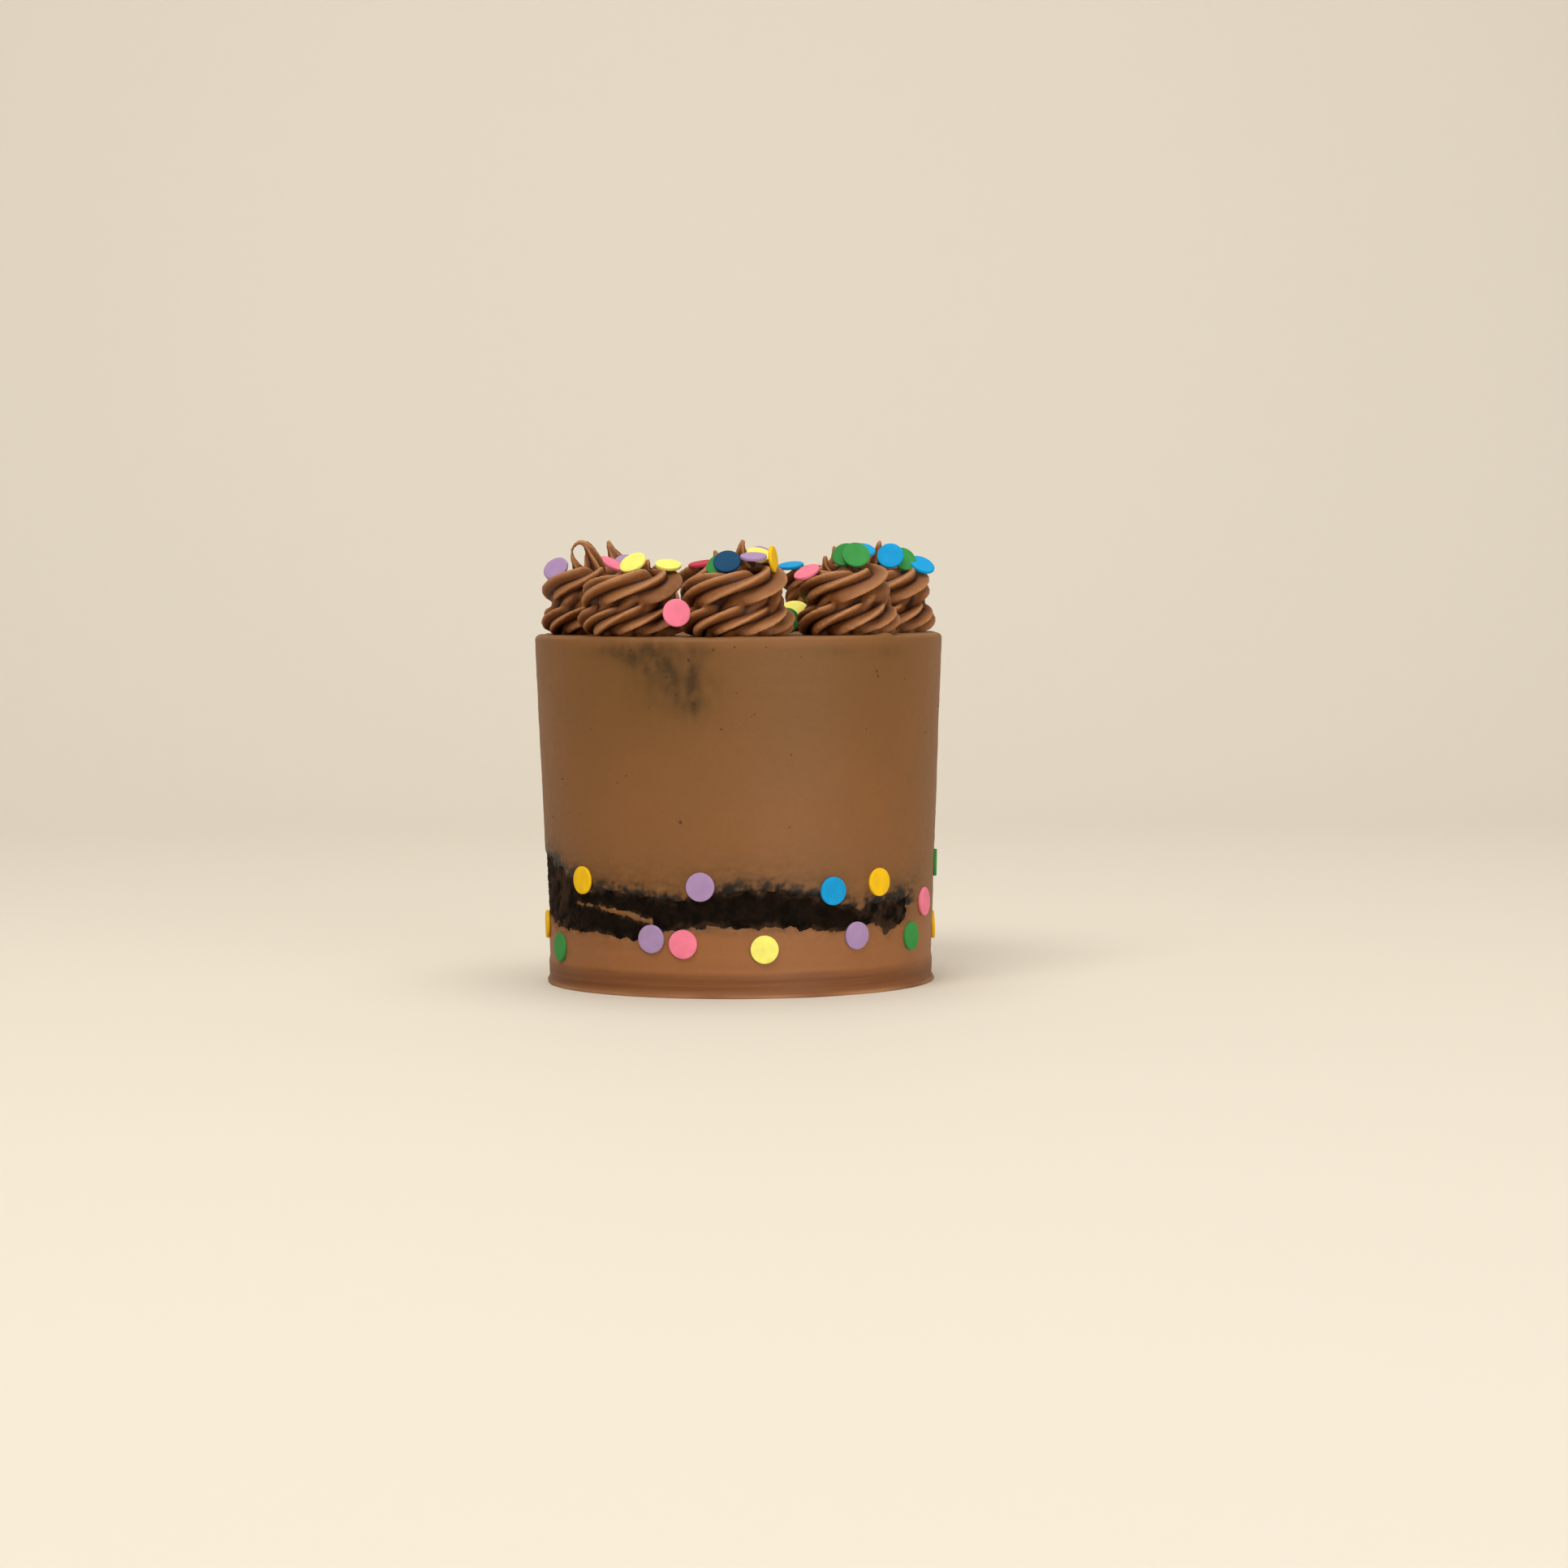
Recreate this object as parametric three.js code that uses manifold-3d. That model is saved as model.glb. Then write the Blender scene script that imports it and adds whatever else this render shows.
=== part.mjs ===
// Layer cake: a small round cake under smooth chocolate buttercream, with one dark sponge
// layer scraped bare round its side, eight piped rosettes on top and round sugar confetti.
// Millimetres, +Z up. The front faces -Y and the origin is the middle of the underside.
import * as THREE from "three";
import { mergeVertices } from "three/addons/utils/BufferGeometryUtils.js";
import Module from "manifold-3d";

// Cake
const CAKE_HEIGHT = 105;
const FOOT_RADIUS = 58.5;
const WAIST_RADIUS = 58;
const WAIST_HEIGHT = 9;
const TOP_RADIUS = 61.6;
const RIM_ROUNDING = 2;
const RIM_STEPS = 3;
const SIDE_STEPS = 48;
const SIDE_WAVE = 0.004;
const SIDE_WAVE_PHASE = 0.7;
const FOURFOLD_SHARE = 0.5;

// Sponge layer: where it shows, as the turn from the front in degrees, and the heights of its edges
const BARE_FROM = -132;
const BARE_TO = 57;
const BARE_FADE = 5;
const BARE_DEPTH = 1.2;
const COVER_DEPTH = 3;
const SPONGE_STEPS = 60;
const SPONGE_GAP = 0.3;
const PAST_SIDE = 3.5;
const SPONGE_MIDDLE = 25;
const SPONGE_TOP = [
  [-180, 31],
  [-132, 34],
  [-100, 39.5],
  [-78, 39],
  [-64, 35.6],
  [-50, 30.2],
  [-37, 30.1],
  [-20, 28.3],
  [0, 31.4],
  [10, 31],
  [25, 28.3],
  [34, 25],
  [44, 26.4],
  [57, 26.8],
  [90, 29],
  [180, 31],
];
const SPONGE_BOTTOM = [
  [-180, 19],
  [-90, 20.5],
  [-70, 18.2],
  [-49, 17.8],
  [-36, 16.8],
  [-26, 18.8],
  [-14, 20.7],
  [12, 20.7],
  [28, 19.1],
  [38, 20.6],
  [47, 18],
  [57, 20.4],
  [180, 19],
];

// Confetti: flat sugar discs
const DISC_RADIUS = 4.4;
const DISC_THICKNESS = 1.2;
const DISC_SIDES = 8;
const DISC_SUNK = 0.45;
const DISC_BITE = 0.8;
const DROP_HEIGHT = 80;

// Corners nearer than this are one when a solid is joined or cut
const SAME_POINT = 1e-4;

// Confetti round the foot of the side: [turn from the front, height]
const SIDE_DISCS = [
  [-83.8, 17.7],
  [-67.1, 12.6],
  [-51.8, 33.2],
  [-26.4, 17.1],
  [-16.6, 15.6],
  [-11.3, 32.6],
  [6.8, 14.4],
  [27.1, 30.8],
  [35.3, 17],
  [43.4, 32.6],
  [59.9, 15.2],
  [69.1, 25],
  [87.2, 35.3],
  [90.5, 16.2],
];
const BACK_DISCS = 12;
const BACK_DISCS_FROM = 104;
const BACK_DISCS_PITCH = 13.4;
const BACK_ROW_HEIGHTS = [33, 16];
const BACK_TURN_SPREAD = 4;
const BACK_HEIGHT_SPREAD = 2.4;
const BACK_SEED = 7;

// Piped rosette, two turns of a star-tipped rope and a pulled peak.
// Each row: [height, radius at the ridges, depth of the grooves, turn of the ridges in degrees]
const SWIRL = [
  [0, 14.4, 1.3, 0],
  [1.6, 15.4, 1.9, 7],
  [4.4, 15.8, 2.2, 23],
  [7, 15.1, 1.8, 38],
  [8.5, 13.7, 0.8, 46],
  [9.8, 14.8, 1.5, 51],
  [12.4, 15.5, 2.2, 66],
  [15.2, 14.6, 2.4, 84],
  [17.6, 12.2, 2.4, 104],
  [19.3, 9.2, 2.1, 128],
  [20.4, 6.2, 1.6, 156],
  [21.8, 3.6, 1, 190],
  [24.2, 1.9, 0.5, 230],
  [27.8, 0.5, 0, 260],
];
const RIDGES = 15;
const UPPER_TURN_FROM = 9;
const PEAK_FROM = 19;
const PEAK_TOP = 27.8;
const LEAN_POWER = 1.5;
const FADED_EVERY = 3;
const FADED_RIDGE = 0.15;
const RIDGE_SPREAD = 0.175;
const ROSETTE_SEED = 1000;

// Ring of rosettes: turn is round the cake, start turns the swirl, and tip shifts the peak's end
const RING_RADIUS = 44.5;
const ROSETTES = [
  { name: "rosette_1", turn: 0, start: 100, size: 1, tip: [1.5, 0, 0] },
  { name: "rosette_2", turn: 47, start: 75, size: 1, tip: [-6.5, 1, -4.2] },
  { name: "rosette_3", turn: 94, start: 160, size: 0.98, tip: [-2, -1, 0] },
  { name: "rosette_4", turn: 142, start: 220, size: 0.99, tip: [2, -2, -1.5] },
  { name: "rosette_5", turn: 187, start: 290, size: 0.98, tip: [-2, 2, -2.6] },
  { name: "rosette_6", turn: -131, start: 330, size: 0.97, tip: [-6.4, 0, 0.2] },
  { name: "rosette_7", turn: -88.5, start: 20, size: 0.98, tip: [0, 0, 0] },
  { name: "rosette_8", turn: -44, start: 110, size: 1, tip: [2, -1, -3] },
];

// The one peak that was pulled over into a thin loop, seen from the front:
// [across, height, half thickness]
const CURL_ROSETTE = "rosette_7";
const CURL_FROM = 22;
const CURL_AHEAD = 0.35;
const CURL_PATH = [
  [1.1, 17, 4.4],
  [1, 20.5, 3.9],
  [0.8, 22.5, 3.1],
  [0.3, 24.6, 2.2],
  [-0.6, 26.4, 1.5],
  [-2.4, 27.9, 0.9],
  [-4.6, 27.4, 0.7],
  [-5.8, 25.4, 0.6],
  [-5.6, 22.8, 0.6],
  [-4.3, 20.2, 0.8],
  [-3, 18, 1.1],
];
const CURL_SIDES = 6;
const CURL_STEPS = 12;

// Confetti on a rosette: across and ahead of its axis, tilt towards the front, lean to the
// right and turn about the vertical, in millimetres and degrees. A disc that is wedged beside
// the swirl has the height of its middle too, and the others are lowered onto it.
const TOP_DISCS = {
  rosette_1: [
    { across: -3.2, ahead: 4.2, tilt: 50, lean: 0, turn: -6 },
    { across: -7, ahead: 0.6, tilt: 46, lean: -8, turn: -20 },
    { across: 4.3, ahead: 3.8, tilt: 14, lean: 0, turn: 0 },
    { across: 6, ahead: -1.6, tilt: 28, lean: 8, turn: 0 },
    { across: 6.6, ahead: -6.2, tilt: 54, lean: 0, turn: 10 },
    { across: 10.2, ahead: 2.2, tilt: 8, lean: 76, turn: -12 },
    { across: -17.8, ahead: 5.5, tilt: 84, lean: 0, turn: 12, height: 7.1 },
  ],
  rosette_2: [
    { across: -12.3, ahead: 3, tilt: 22, lean: -24, turn: 0 },
    { across: -1.8, ahead: 0.2, tilt: 58, lean: -8, turn: -14 },
    { across: 2.2, ahead: 3.6, tilt: 60, lean: 0, turn: 4 },
    { across: 3.6, ahead: -4, tilt: 30, lean: 0, turn: 10 },
    { across: -16.2, ahead: -9, tilt: 60, lean: 0, turn: 0, height: 8.2 },
    { across: -16.4, ahead: -7.4, tilt: 74, lean: 0, turn: -8, height: 6 },
  ],
  rosette_3: [
    { across: 1.6, ahead: 5.4, tilt: 66, lean: 0, turn: -4 },
    { across: 6.7, ahead: 2.8, tilt: 60, lean: 0, turn: 30 },
    { across: 11.3, ahead: 1, tilt: 30, lean: 22, turn: 0 },
    { across: 2, ahead: -8, tilt: -30, lean: 0, turn: 0 },
  ],
  rosette_4: [
    { across: -11, ahead: 3, tilt: 12, lean: -6, turn: 0 },
    { across: 3, ahead: -6, tilt: -36, lean: 10, turn: 0 },
    { across: 8.4, ahead: 4, tilt: 24, lean: 20, turn: 0 },
    { across: -6, ahead: -8.6, tilt: -40, lean: -10, turn: 0 },
  ],
  rosette_5: [
    { across: -7.2, ahead: 3, tilt: 10, lean: -10, turn: 0 },
    { across: 6.4, ahead: -4, tilt: -30, lean: 16, turn: 0 },
    { across: -4.4, ahead: -8.6, tilt: -52, lean: 0, turn: 0 },
    { across: 8.6, ahead: 5, tilt: 20, lean: 22, turn: 0 },
  ],
  rosette_6: [
    { across: -2.2, ahead: 5.4, tilt: 44, lean: 0, turn: 0 },
    { across: 5.6, ahead: -7.4, tilt: -34, lean: 14, turn: 0 },
    { across: -7, ahead: -6, tilt: -32, lean: -18, turn: 0 },
  ],
  rosette_7: [
    { across: -10.4, ahead: 2.6, tilt: 44, lean: -34, turn: 0 },
    { across: 6.6, ahead: -4.6, tilt: 30, lean: 28, turn: 0 },
    { across: -3, ahead: -9, tilt: -34, lean: 0, turn: 0 },
  ],
  rosette_8: [
    { across: 0, ahead: 2.6, tilt: 38, lean: -22, turn: -10 },
    { across: 10.3, ahead: -1.5, tilt: 20, lean: 4, turn: 0 },
    { across: -6, ahead: -8, tilt: -24, lean: -12, turn: 0 },
  ],
};

const BUTTERCREAM = new THREE.Color(0x8a5e39);
const DARK_SPONGE = new THREE.Color(0x1a0f07);

const wasm = await Module();
wasm.setup();

// Turn from the front, in degrees, positive towards +X, to a point at that radius and height
function around(turn, radius, height) {
  const angle = THREE.MathUtils.degToRad(turn);
  return new THREE.Vector3(radius * Math.sin(angle), -radius * Math.cos(angle), height);
}

// Value of a short list of rows at a place along its first column, straight between rows
function along(rows, place, column = 1) {
  const last = rows.length - 1;
  if (place <= rows[0][0]) return rows[0][column];
  if (place >= rows[last][0]) return rows[last][column];
  const next = rows.findIndex((row) => row[0] > place);
  const [a, b] = [rows[next - 1], rows[next]];
  return THREE.MathUtils.lerp(a[column], b[column], (place - a[0]) / (b[0] - a[0]));
}

// Closed solid through a row of rings, each a loop of the same number of points
function loft(rings) {
  const count = rings[0].length;
  const middle = (ring) => ring.reduce((sum, p) => sum.add(p), new THREE.Vector3()).divideScalar(count);
  const points = [...rings.flat(), middle(rings[0]), middle(rings.at(-1))];
  const first = rings.length * count;
  const faces = [];
  for (let i = 0; i < count; i++) {
    const next = (i + 1) % count;
    for (let row = 0; row < rings.length - 1; row++) {
      const [a, b] = [row * count + i, row * count + next];
      faces.push(a, b, b + count, a, b + count, a + count);
    }
    const top = (rings.length - 1) * count;
    faces.push(first, next, i, first + 1, top + i, top + next);
  }
  const geometry = new THREE.BufferGeometry().setFromPoints(points);
  geometry.setIndex(faces);
  return geometry;
}

// Geometry to a solid that can be joined and cut, and back
function toSolid(geometry) {
  const bare = geometry.clone();
  bare.deleteAttribute("normal");
  bare.deleteAttribute("uv");
  const merged = mergeVertices(bare, SAME_POINT);
  return new wasm.Manifold(
    new wasm.Mesh({
      numProp: 3,
      vertProperties: new Float32Array(merged.attributes.position.array),
      triVerts: new Uint32Array(merged.index.array),
    }),
  );
}

function toGeometry(solid) {
  const mesh = solid.getMesh();
  const geometry = new THREE.BufferGeometry();
  geometry.setAttribute("position", new THREE.BufferAttribute(new Float32Array(mesh.vertProperties), 3));
  geometry.setIndex(new THREE.BufferAttribute(new Uint32Array(mesh.triVerts), 1));
  geometry.computeVertexNormals();
  return geometry;
}

// Radius at a turn as a share of the plain one: the cake is a little out of round
function roundness(turn) {
  const angle = THREE.MathUtils.degToRad(turn);
  const twofold = Math.sin(2 * angle + SIDE_WAVE_PHASE);
  return 1 + SIDE_WAVE * (twofold + FOURFOLD_SHARE * Math.sin(4 * angle));
}

// Radius of the buttercream at a height and turn
function sideRadius(height, turn) {
  const flare = Math.max(0, (WAIST_HEIGHT - height) / WAIST_HEIGHT) ** 2;
  const rise = (height - WAIST_HEIGHT) / (CAKE_HEIGHT - RIM_ROUNDING - WAIST_HEIGHT);
  const widening = (TOP_RADIUS - WAIST_RADIUS) * THREE.MathUtils.clamp(rise, 0, 1);
  return (WAIST_RADIUS + (FOOT_RADIUS - WAIST_RADIUS) * flare + widening) * roundness(turn);
}

// How far the sponge is bare at a turn: 1 where it shows, 0 under the buttercream
function bareness(turn) {
  const inside = Math.min(turn - BARE_FROM, BARE_TO - turn);
  return THREE.MathUtils.clamp(inside / BARE_FADE + 0.5, 0, 1);
}

// Ring of points round the sponge, a gap beyond one of its edges and a reach past its side
function spongeRing(edge, gap, reach) {
  const ring = [];
  for (let i = 0; i < SPONGE_STEPS; i++) {
    const turn = (360 * i) / SPONGE_STEPS - 180;
    const side = sideRadius(SPONGE_MIDDLE, turn);
    const covered = side - COVER_DEPTH + Math.abs(gap);
    const radius = THREE.MathUtils.lerp(covered, side - BARE_DEPTH + reach, bareness(turn));
    ring.push(around(turn, radius, along(edge, turn) + gap));
  }
  return ring;
}

function spongeGeometry() {
  return loft([spongeRing(SPONGE_BOTTOM, 0, 0), spongeRing(SPONGE_TOP, 0, 0)]);
}

// The room for the sponge in the buttercream, open where the sponge is bare
function spongeSlot() {
  return loft([
    spongeRing(SPONGE_BOTTOM, -SPONGE_GAP, 0),
    spongeRing(SPONGE_BOTTOM, -SPONGE_GAP, PAST_SIDE),
    spongeRing(SPONGE_TOP, SPONGE_GAP, PAST_SIDE),
    spongeRing(SPONGE_TOP, SPONGE_GAP, 0),
  ]);
}

// Repeatable draws between -1 and 1
function draws(seed) {
  let state = seed;
  return () => {
    state = (state * 16807) % 2147483647;
    return (2 * state) / 2147483647 - 1;
  };
}

// A confetti disc, its flat faces up and down
function disc() {
  const geometry = new THREE.CylinderGeometry(DISC_RADIUS, DISC_RADIUS, DISC_THICKNESS, DISC_SIDES);
  return geometry.rotateX(Math.PI / 2);
}

// A disc pressed flat into the side of the cake
function sideDisc(turn, height) {
  const out = sideRadius(height, turn) - DISC_SUNK + DISC_THICKNESS / 2;
  const place = around(turn, out, height);
  return disc()
    .rotateX(Math.PI / 2)
    .rotateZ(THREE.MathUtils.degToRad(turn))
    .translate(place.x, place.y, place.z);
}

// The buttercream coat, its outline turned round the axis and then put out of round
function coatGeometry() {
  const outline = [new THREE.Vector2(0, 0)];
  for (const height of [0, WAIST_HEIGHT / 2, WAIST_HEIGHT]) {
    outline.push(new THREE.Vector2(sideRadius(height, 0) / roundness(0), height));
  }
  for (let i = 0; i <= RIM_STEPS; i++) {
    const angle = (Math.PI / 2) * (i / RIM_STEPS);
    const height = CAKE_HEIGHT - RIM_ROUNDING * (1 - Math.sin(angle));
    outline.push(new THREE.Vector2(TOP_RADIUS - RIM_ROUNDING * (1 - Math.cos(angle)), height));
  }
  outline.push(new THREE.Vector2(0, CAKE_HEIGHT));
  const coat = new THREE.LatheGeometry(outline, SIDE_STEPS).rotateX(Math.PI / 2);
  const corners = coat.attributes.position;
  for (let i = 0; i < corners.count; i++) {
    const [x, y] = [corners.getX(i), corners.getY(i)];
    const share = roundness(THREE.MathUtils.radToDeg(Math.atan2(x, -y)));
    corners.setXY(i, x * share, y * share);
  }
  return coat;
}

function cakeBody() {
  let solid = toSolid(coatGeometry()).subtract(toSolid(spongeSlot()));
  for (const [turn, height] of SIDE_DISCS) {
    solid = solid.add(toSolid(sideDisc(turn, height)));
  }
  const draw = draws(BACK_SEED);
  for (let i = 0; i < BACK_DISCS; i++) {
    const turn = BACK_DISCS_FROM + BACK_DISCS_PITCH * i + BACK_TURN_SPREAD * draw();
    const height = BACK_ROW_HEIGHTS[i % 2] + BACK_HEIGHT_SPREAD * draw();
    solid = solid.add(toSolid(sideDisc(turn, height)));
  }
  return toGeometry(solid);
}

// One row of a swirl: a star of ridges and grooves about the rosette's leaning axis
function swirlRing(row, rosette, draw) {
  const [height, radius, depth, turned] = row;
  const lean = Math.max(0, (height - PEAK_FROM) / (PEAK_TOP - PEAK_FROM)) ** LEAN_POWER;
  const ring = [];
  for (let i = 0; i < 2 * RIDGES; i++) {
    const angle = THREE.MathUtils.degToRad((180 * i) / RIDGES + turned + rosette.start);
    const faded = height > UPPER_TURN_FROM && (i / 2) % FADED_EVERY === 1;
    const crest = i % 2 === 0 ? (faded ? FADED_RIDGE : 1) : 0;
    const uneven = height > 0 ? RIDGE_SPREAD * depth * draw() : 0;
    const reach = radius - depth * (1 - crest) + uneven;
    ring.push(
      new THREE.Vector3(
        reach * Math.cos(angle) + lean * rosette.tip[0],
        reach * Math.sin(angle) + lean * rosette.tip[1],
        height + lean * rosette.tip[2],
      ),
    );
  }
  return ring;
}

// The peak that curls over, a round section along a smooth path
function curlGeometry() {
  const path = new THREE.CatmullRomCurve3(
    CURL_PATH.map(([across, height]) => new THREE.Vector3(across, -CURL_AHEAD, height)),
  );
  const stations = CURL_PATH.map((row, i) => [i / (CURL_PATH.length - 1), row[2]]);
  const rings = [];
  for (let step = 0; step <= CURL_STEPS; step++) {
    const place = step / CURL_STEPS;
    const middle = path.getPoint(place);
    const radius = along(stations, place);
    const beside = new THREE.Vector3(0, 1, 0);
    const out = new THREE.Vector3().crossVectors(beside, path.getTangent(place));
    const ring = [];
    for (let i = 0; i < CURL_SIDES; i++) {
      const angle = (2 * Math.PI * i) / CURL_SIDES;
      const point = middle.clone().addScaledVector(out, radius * Math.cos(angle));
      ring.push(point.addScaledVector(beside, radius * Math.sin(angle)));
    }
    rings.push(ring);
  }
  return loft(rings);
}

// A disc in its place: at its own height, or lowered onto the swirl until its rim first
// touches and then sunk in by the bite
function placedDisc(swirl, place) {
  const radians = THREE.MathUtils.degToRad;
  const facing = new THREE.Euler(radians(place.tilt), radians(place.lean), radians(place.turn), "ZYX");
  const geometry = disc().applyMatrix4(new THREE.Matrix4().makeRotationFromEuler(facing));
  geometry.translate(place.across, -place.ahead, 0);
  if (place.height !== undefined) return geometry.translate(0, 0, place.height);
  const mesh = new THREE.Mesh(swirl);
  const caster = new THREE.Raycaster();
  const down = new THREE.Vector3(0, 0, -1);
  const corners = geometry.attributes.position;
  let height = 0;
  for (let i = 0; i < corners.count; i++) {
    const corner = new THREE.Vector3().fromBufferAttribute(corners, i);
    caster.set(new THREE.Vector3(corner.x, corner.y, DROP_HEIGHT), down);
    const hit = caster.intersectObject(mesh)[0];
    if (hit) height = Math.max(height, hit.point.z - corner.z);
  }
  return geometry.translate(0, 0, height - DISC_BITE);
}

function rosetteSolid(rosette) {
  const draw = draws(ROSETTE_SEED + rosette.turn);
  const curled = rosette.name === CURL_ROSETTE;
  const rows = curled ? SWIRL.filter((row) => row[0] < CURL_FROM) : SWIRL;
  const swirl = loft(rows.map((row) => swirlRing(row, rosette, draw)));
  let solid = toSolid(swirl);
  if (curled) solid = solid.add(toSolid(curlGeometry()));
  for (const place of TOP_DISCS[rosette.name]) {
    solid = solid.add(toSolid(placedDisc(swirl, place)));
  }
  return solid;
}

function rosetteMesh(rosette) {
  const geometry = toGeometry(rosetteSolid(rosette));
  geometry.scale(rosette.size, rosette.size, rosette.size);
  const mesh = new THREE.Mesh(
    geometry,
    new THREE.MeshStandardMaterial({ color: BUTTERCREAM, roughness: 0.6, metalness: 0 }),
  );
  mesh.name = rosette.name;
  mesh.position.copy(around(rosette.turn, RING_RADIUS, CAKE_HEIGHT));
  return mesh;
}

const cake = new THREE.Group();

const body = new THREE.Mesh(
  cakeBody(),
  new THREE.MeshStandardMaterial({ color: BUTTERCREAM, roughness: 0.6, metalness: 0 }),
);
body.name = "cake_body";
cake.add(body);

const sponge = new THREE.Mesh(
  spongeGeometry(),
  new THREE.MeshStandardMaterial({ color: DARK_SPONGE, roughness: 0.95, metalness: 0 }),
);
sponge.name = "sponge_layer";
cake.add(sponge);

for (const rosette of ROSETTES) {
  cake.add(rosetteMesh(rosette));
}

export default cake;
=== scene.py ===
import math
import random

import bpy
import numpy as np
from mathutils import Euler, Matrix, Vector, noise
from mathutils.bvhtree import BVHTree


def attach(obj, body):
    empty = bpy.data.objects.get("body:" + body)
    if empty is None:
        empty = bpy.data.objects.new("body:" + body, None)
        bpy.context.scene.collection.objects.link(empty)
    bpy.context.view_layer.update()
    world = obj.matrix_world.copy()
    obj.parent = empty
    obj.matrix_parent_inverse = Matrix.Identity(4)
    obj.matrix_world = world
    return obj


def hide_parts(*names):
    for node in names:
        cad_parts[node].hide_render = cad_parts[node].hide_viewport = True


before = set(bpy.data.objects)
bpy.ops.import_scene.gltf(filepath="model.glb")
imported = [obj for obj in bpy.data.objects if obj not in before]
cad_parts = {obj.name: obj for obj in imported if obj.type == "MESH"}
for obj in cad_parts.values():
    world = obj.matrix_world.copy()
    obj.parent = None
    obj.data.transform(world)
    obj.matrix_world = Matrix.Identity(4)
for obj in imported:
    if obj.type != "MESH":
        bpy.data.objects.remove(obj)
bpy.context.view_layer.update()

# Everything below is worked out in millimetres and brought to metres as each mesh is made
MM = 0.001

# Cake
CAKE_HEIGHT = 105
FOOT_RADIUS = 58.5
WAIST_RADIUS = 58
WAIST_HEIGHT = 9
TOP_RADIUS = 61.6
RIM_ROUNDING = 1.6
SIDE_WAVE = 0.004

# Radius at which arcs round the side are measured, and the length of one degree there
ARC_RADIUS = 60.0
DEGREE_ARC = math.radians(ARC_RADIUS)

# Level lines of the foot and humps of the rim: middle, half width and how far each stands out
FOOT_LINES = [(6.2, 1.6, 0.2), (8.4, 0.7, -0.1)]
FOOT_EDGE = [(0.7, 0.6, 0.45), (2.1, 0.7, -0.25)]
RIM_HUMPS = [(46, 2.2, 0.7), (49.5, 1.4, -0.4)]

# Coat mesh
COAT_COLUMNS = 600
BAND_ROWS = (13.0, 43.0)
FINE_ROW = 0.44
COARSE_ROW = 1.8
SMUDGE_FROM = 80
SMUDGE_ROW = 0.75
RIM_ROWS = 8
TOP_RINGS = 9
TOP_RING_SPREAD = 0.8
UNDERSIDE_RINGS = (0.3, 0.6, 0.85, 0.97)
BAND_REACH = 12
FAR_FROM_BAND = 99.0

# Where the sponge is bare: turns from the front in degrees, and the heights of its edges
BARE_FROM = -132
BARE_TO = 57.5
SPONGE_TOP = [
    (-180, 31), (-132, 34), (-100, 39.5), (-78, 39), (-64, 35.6), (-56, 32.4), (-50, 30.2),
    (-37, 30.1), (-20, 28.2), (-12, 30), (-3, 31.4), (7, 31.4), (15, 30), (25, 28.2),
    (31, 26.1), (35, 24.8), (37, 22.9), (39, 26.3), (46, 26.2), (51, 26.9), (58, 26.8),
    (90, 29), (180, 31),
]
SPONGE_BOTTOM = [
    (-180, 19), (-132, 21), (-90, 20.5), (-77, 20.3), (-70, 18.2), (-60, 17.6), (-49, 17.8),
    (-36, 16.8), (-30, 16.9), (-26, 18.8), (-14, 20.8), (12, 20.7), (23, 19.2), (34, 19.3),
    (38, 21), (43, 19.3), (47.5, 17.6), (52, 18.7), (58, 20.8), (180, 19),
]
STREAK = [(-56, 26.4), (-45, 25.4), (-37, 24.4), (-31, 23), (-26, 21.6)]
STREAK_HALF = 0.75
STREAK_THIN = 0.35
STREAK_SWELL = 1.15
PATCHY_TURNS = (-48, -62)
RAGGED_WIDE = 1.1
RAGGED_FINE = 0.6
COAT_LIP = 1.3
BAND_RECESS = 2.4
SPONGE_SINK = 0.5
SPONGE_COVER = 3.2
CRUMB_RELIEF = 0.45
SPONGE_COLUMNS = 720
SPONGE_ROWS = 64
SPONGE_OVERLAP = 1.2
SPONGE_PULL = 1.4
SPONGE_MARGIN = 2.5
GREY_LEFT = (-50, -66)
GREY_RIGHT = (35, 40)
HIDDEN_RADIUS = 30.0
HIDDEN_HEIGHTS = (19.0, 31.0)

# How far the smear of sponge reaches into the coat, and the share of it below the band
SMEAR_REACH = 4.2
SMEAR_BELOW = 0.4
SMEAR_STRENGTH = 1.2

# Tones of the coat, among them a painted highlight and painted bounce light: where each one starts and
# where it is full, in height or in turn
FOOT_FADE = (8.2, 5.6)
# Painted highlight: a thin light line along the foot, standing in for light caught where the coat
# meets the board
FOOT_HIGHLIGHT_HEIGHTS = (1.5, 0.6)
# Painted bounce light from the board: the coat lighter and pinker low on the side
BOUNCE_LIGHT_HEIGHTS = (24, 17)
SHADED_HEIGHTS = (48, 94)
SHADED_RIM = (103.4, 101)
SHADED_TURNS = (72, 30)

# Thin patch under the rim where the sponge shows through: turn, height, half sizes, strength
SMUDGE = [
    (-31.5, 100, 4.6, 3, 0.8), (-26, 99.2, 5.4, 4.6, 0.85), (-21.4, 98, 4.6, 5.6, 0.8),
    (-18.4, 94.6, 2, 7.5, 0.7), (-12.3, 93.4, 2.1, 9.6, 0.9), (-11.4, 100.4, 4.6, 2.6, 0.5),
    (-16.4, 88.8, 7, 6.4, 0.5), (-25, 91, 7, 6, 0.25), (-38, 100.8, 6, 2.6, 0.35),
    (-8, 92, 6, 9, 0.2), (-13.4, 85.8, 4, 4, 0.4), (27, 100.6, 6, 1.8, 0.2),
    (46, 100.4, 5, 2, 0.25),
]
RIM_STAIN_DEPTH = 2.5
RIM_STAIN_SHARE = 0.5

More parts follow.
